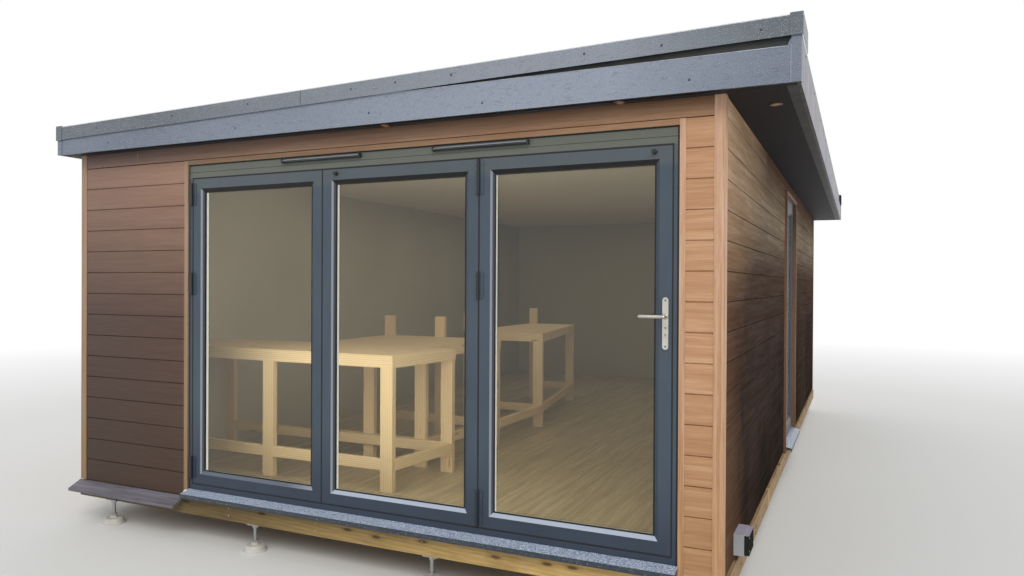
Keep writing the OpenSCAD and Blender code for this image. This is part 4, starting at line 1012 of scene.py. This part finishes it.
spots = []
for _ in range(FASCIA_DROPS):
    x = rng.uniform(fascia_lo.x + 0.9, fascia_hi.x)
    spots.append(((x, fascia_lo.y, fascia_lo.z + rng.uniform(0.004, 0.148)), FRONT))
for _ in range(TRIM_DROPS):
    x = rng.uniform(-half_w + 0.06, half_w - 0.06)
    spots.append(((x, edge_y, edge_top(x) - rng.uniform(0.008, 0.084)), FRONT))
drops("front_drops", spots, (0.0008, 0.0024), "fascia_plastic")

# The sill's top starts just before the door, and falls as it runs out
sill_lo, sill_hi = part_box("door_sill")
sill_tilt = Vector((0, -0.016, 0.07)).normalized()
SILL_RUN, SILL_FALL = 0.067, 0.0155
spots = []
for _ in range(SILL_DROPS):
    t = rng.random()
    y = door_lo.y - 0.002 - t * SILL_RUN
    z = sill_hi.z - t * SILL_FALL
    spots.append(((rng.uniform(sill_lo.x + 0.01, sill_hi.x - 0.01), y, z), sill_tilt))
for _ in range(EDGE_DROPS):
    x = rng.uniform(sill_lo.x, sill_hi.x)
    spots.append(((x, sill_lo.y, rng.uniform(sill_lo.z + 0.004, sill_hi.z - 0.02)), FRONT))
drops("sill_drops", spots, (0.0009, 0.0027), "door_aluminium")


# Under the eaves: the vent strip and the lamps

# Flat edges, a rib and webs leave rows of slots in the strip, with a plate over them
vent_lo, vent_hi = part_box("soffit_vent")
wall_face = front_lo.y
x0, x1 = vent_lo.x, vent_hi.x
z0, z1 = vent_lo.z, vent_lo.z + 0.003
FLAT, WEB, PITCH = 0.007, 0.005, 0.012
strip = [bar((x0, ya, z0), (x1, yb, z1)) for ya, yb in (
    (vent_lo.y, vent_lo.y + FLAT), (wall_face - FLAT, wall_face), (vent_lo.y + 0.019, vent_lo.y + 0.023))]
strip.append(bar((x0, wall_face, z0), (x1, vent_hi.y, vent_hi.z)))
strip.append(bar((x0, vent_lo.y, z1 + 0.004), (x1, wall_face, vent_hi.z)))
count = int((x1 - x0) / PITCH)
for i in range(count + 1):
    x = x0 + i * (x1 - x0 - WEB) / count
    strip.append(bar((x, vent_lo.y + FLAT, z0), (x + WEB, wall_face - FLAT, z1)))
vent_look = soffit_board("vent_strip", "#3b3a3d", "#57565a")
piece("vent_strip", *joined(strip), vent_look, "soffit_plastic", ["soffit_vent"])

# A frosted lens inside each lamp's bezel
lens = Shade("lamp_lens", rough=0.35)
frost = lens.span(lens.noise(lens.at(), 300, 3, 0.5), 0.4, 0.6)
lens.feed("Base Color", lens.mix(frost, "#958b7c", "#ada293"))
lens_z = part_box("soffit_lights")[0].z + 0.003
lenses = [facing((x, y, lens_z), DOWN) for x, y in (
    (ORIGIN.x - 0.272, wall_face - 0.032), (ORIGIN.x - 1.560, wall_face - 0.032),
    (right_hi.x + 0.182, door_lo.y + 0.277))]
piece("lamp_lenses", *stamp(*dome(0.0185, 0.0022, 24, 3), lenses), lens.mat, "copper_bezel", smooth=True)


# Base and header: bearer screws, a joint, sealant at the sill's end and box screws

bearer_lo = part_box("front_bearer")[0]
heads = [(x, bearer_lo.y, bearer_lo.z + dz) for x in (-1.55, -0.9, -0.25, 0.45, 1.05, 1.6, 1.9)
         for dz in (0.03, 0.072)]
screws("bearer_screws", heads, FRONT, 0.0045, zinc, "zinc")

head_lo, head_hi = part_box("front_cladding_head")
filler = moulded("joint_filler", "#a58a7c", 0.5)
seam_x0, seam_x1 = -1.6830, -1.6808
piece("header_joint", *bar((seam_x0, head_lo.y - 0.0005, head_lo.z + 0.004),
                           (seam_x1, head_lo.y + 0.001, head_hi.z - 0.012)), filler, "cladding_wood")

blob = Shade("sealant", rough=0.45, color="#e9e6df")
blob.bump(blob.noise(blob.at(), 90, 3, 0.6), 0.002, 0.8)
blobs = []
for i in range(5):
    x, y, z = sill_lo.x + rng.uniform(-0.012, 0.004), sill_lo.y + 0.035, sill_hi.z - 0.012
    place = (x, y + 0.006 * i, z + 0.0015 * i)
    blobs.append(facing(place, (-0.3, -0.3, 1), rng.uniform(0, 3), rng.uniform(0.7, 1.3)))
piece("sealant", *stamp(*dome(0.009, 0.006, 10, 3), blobs), blob.mat, "white_bead", smooth=True)

box_lo, box_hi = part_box("power_box")
heads = [(box_hi.x, y, z) for y in (box_lo.y + 0.014, box_hi.y - 0.014)
         for z in (box_lo.z + 0.043, box_hi.z - 0.014)]
screws("box_screws", heads, RIGHT, 0.004, zinc, "box_plastic")


# Stage, lamps and camera

def in_view(tree):
    """1 for what the camera sees, by itself, by reflection or through glass, and 0 for other light."""
    path = tree.nodes.new("ShaderNodeLightPath")
    last = path.outputs["Is Camera Ray"]
    for kind in ("Is Glossy Ray", "Is Transmission Ray"):
        either = tree.nodes.new("ShaderNodeMath")
        either.operation = "MAXIMUM"
        tree.links.new(last, either.inputs[0])
        tree.links.new(path.outputs[kind], either.inputs[1])
        last = either.outputs[0]
    return last


def pale_floor():
    """Pale ground that turns white far from the building, where it is in view."""
    s = Shade("pale_floor", rough=0.9, color="#e8e8e6")
    out = next(n for n in s.tree.nodes if n.type == "OUTPUT_MATERIAL")
    away = s.node("VectorMath", {0: s.node("TexCoord", {}, "Object")}, "Value", operation="LENGTH")
    fac = s.times(s.span(away, 6.5, 16.0), in_view(s.tree))
    white = s.node("Emission", {"Color": (1, 1, 1, 1), "Strength": 1.0})
    s.tree.links.new(s.node("MixShader", {0: fac, 1: s.shader.outputs[0], 2: white}), out.inputs[0])
    return s.mat


floor_mesh = bpy.data.meshes.new("studio_floor")
floor_mesh.from_pydata([(-60, -60, 0), (60, -60, 0), (60, 60, 0), (-60, 60, 0)], [], [[0, 1, 2, 3]])
floor_mesh.materials.append(pale_floor())
floor = bpy.data.objects.new("studio_floor", floor_mesh)
scene.collection.objects.link(floor)

# The world is white where it is in view, and lights the building more dimly
world = bpy.data.worlds.new("studio")
scene.world = world
world.use_nodes = True
tree = world.node_tree
soft = tree.nodes["Background"]
soft.inputs["Color"].default_value = (0.93, 0.96, 1.0, 1)
soft.inputs["Strength"].default_value = 0.62
white = tree.nodes.new("ShaderNodeBackground")
white.inputs["Color"].default_value = (1, 1, 1, 1)
white.inputs["Strength"].default_value = 1.0
mixed = tree.nodes.new("ShaderNodeMixShader")
for source, socket in zip((in_view(tree), soft.outputs[0], white.outputs[0]), mixed.inputs):
    tree.links.new(source, socket)
tree.links.new(mixed.outputs[0], tree.nodes["World Output"].inputs[0])


def lamp(name, kind, energy, place, aim, **settings):
    """A lamp at a place that shines towards a point."""
    data = bpy.data.lights.new(name, kind)
    data.energy = energy
    for key, value in settings.items():
        setattr(data, key, value)
    made = bpy.data.objects.new(name, data)
    made.location = place
    made.rotation_euler = (Vector(aim) - Vector(place)).to_track_quat("-Z", "Y").to_euler()
    scene.collection.objects.link(made)
    return made


lamp("key", "SUN", 1.5, (4, -7, 8), (0, 0, 1), angle=math.radians(35), color=(1.0, 0.97, 0.92))
day = lamp("day", "AREA", 19, (0.3, -3.22, 1.4), (0.1, 0, 0.9), shape="RECTANGLE", size=2.8, size_y=1.8,
           color=(1.0, 0.97, 0.9))
room = lamp("room", "AREA", 15, (-0.2, 0.4, 2.38), (-0.2, 0.4, 0), shape="RECTANGLE", size=2.6, size_y=4.6,
            color=(1.0, 0.95, 0.86))
# The panels of daylight and of room light are seen neither through the glass nor in it
for made in (day, room):
    made.visible_camera = made.visible_transmission = made.visible_glossy = False

cam = bpy.data.cameras.new("camera")
cam.lens = 26.69
cam.sensor_width = 36
cam.clip_end = 300
camera = bpy.data.objects.new("camera", cam)
eye = ORIGIN + Vector((0.741, -3.439, 1.276))
yaw, pitch, roll = math.radians(24.61), math.radians(0.294), math.radians(0.289)
ahead = Vector((-math.sin(yaw) * math.cos(pitch), math.cos(yaw) * math.cos(pitch), -math.sin(pitch)))
right = Vector((math.cos(yaw), math.sin(yaw), 0))
up = right.cross(ahead)
right, up = right * math.cos(roll) + up * math.sin(roll), up * math.cos(roll) - right * math.sin(roll)
turn = Matrix((right, up, -ahead)).transposed().to_4x4()
camera.matrix_world = Matrix.Translation(eye) @ turn
scene.collection.objects.link(camera)
scene.camera = camera
scene.view_settings.view_transform = "Standard"
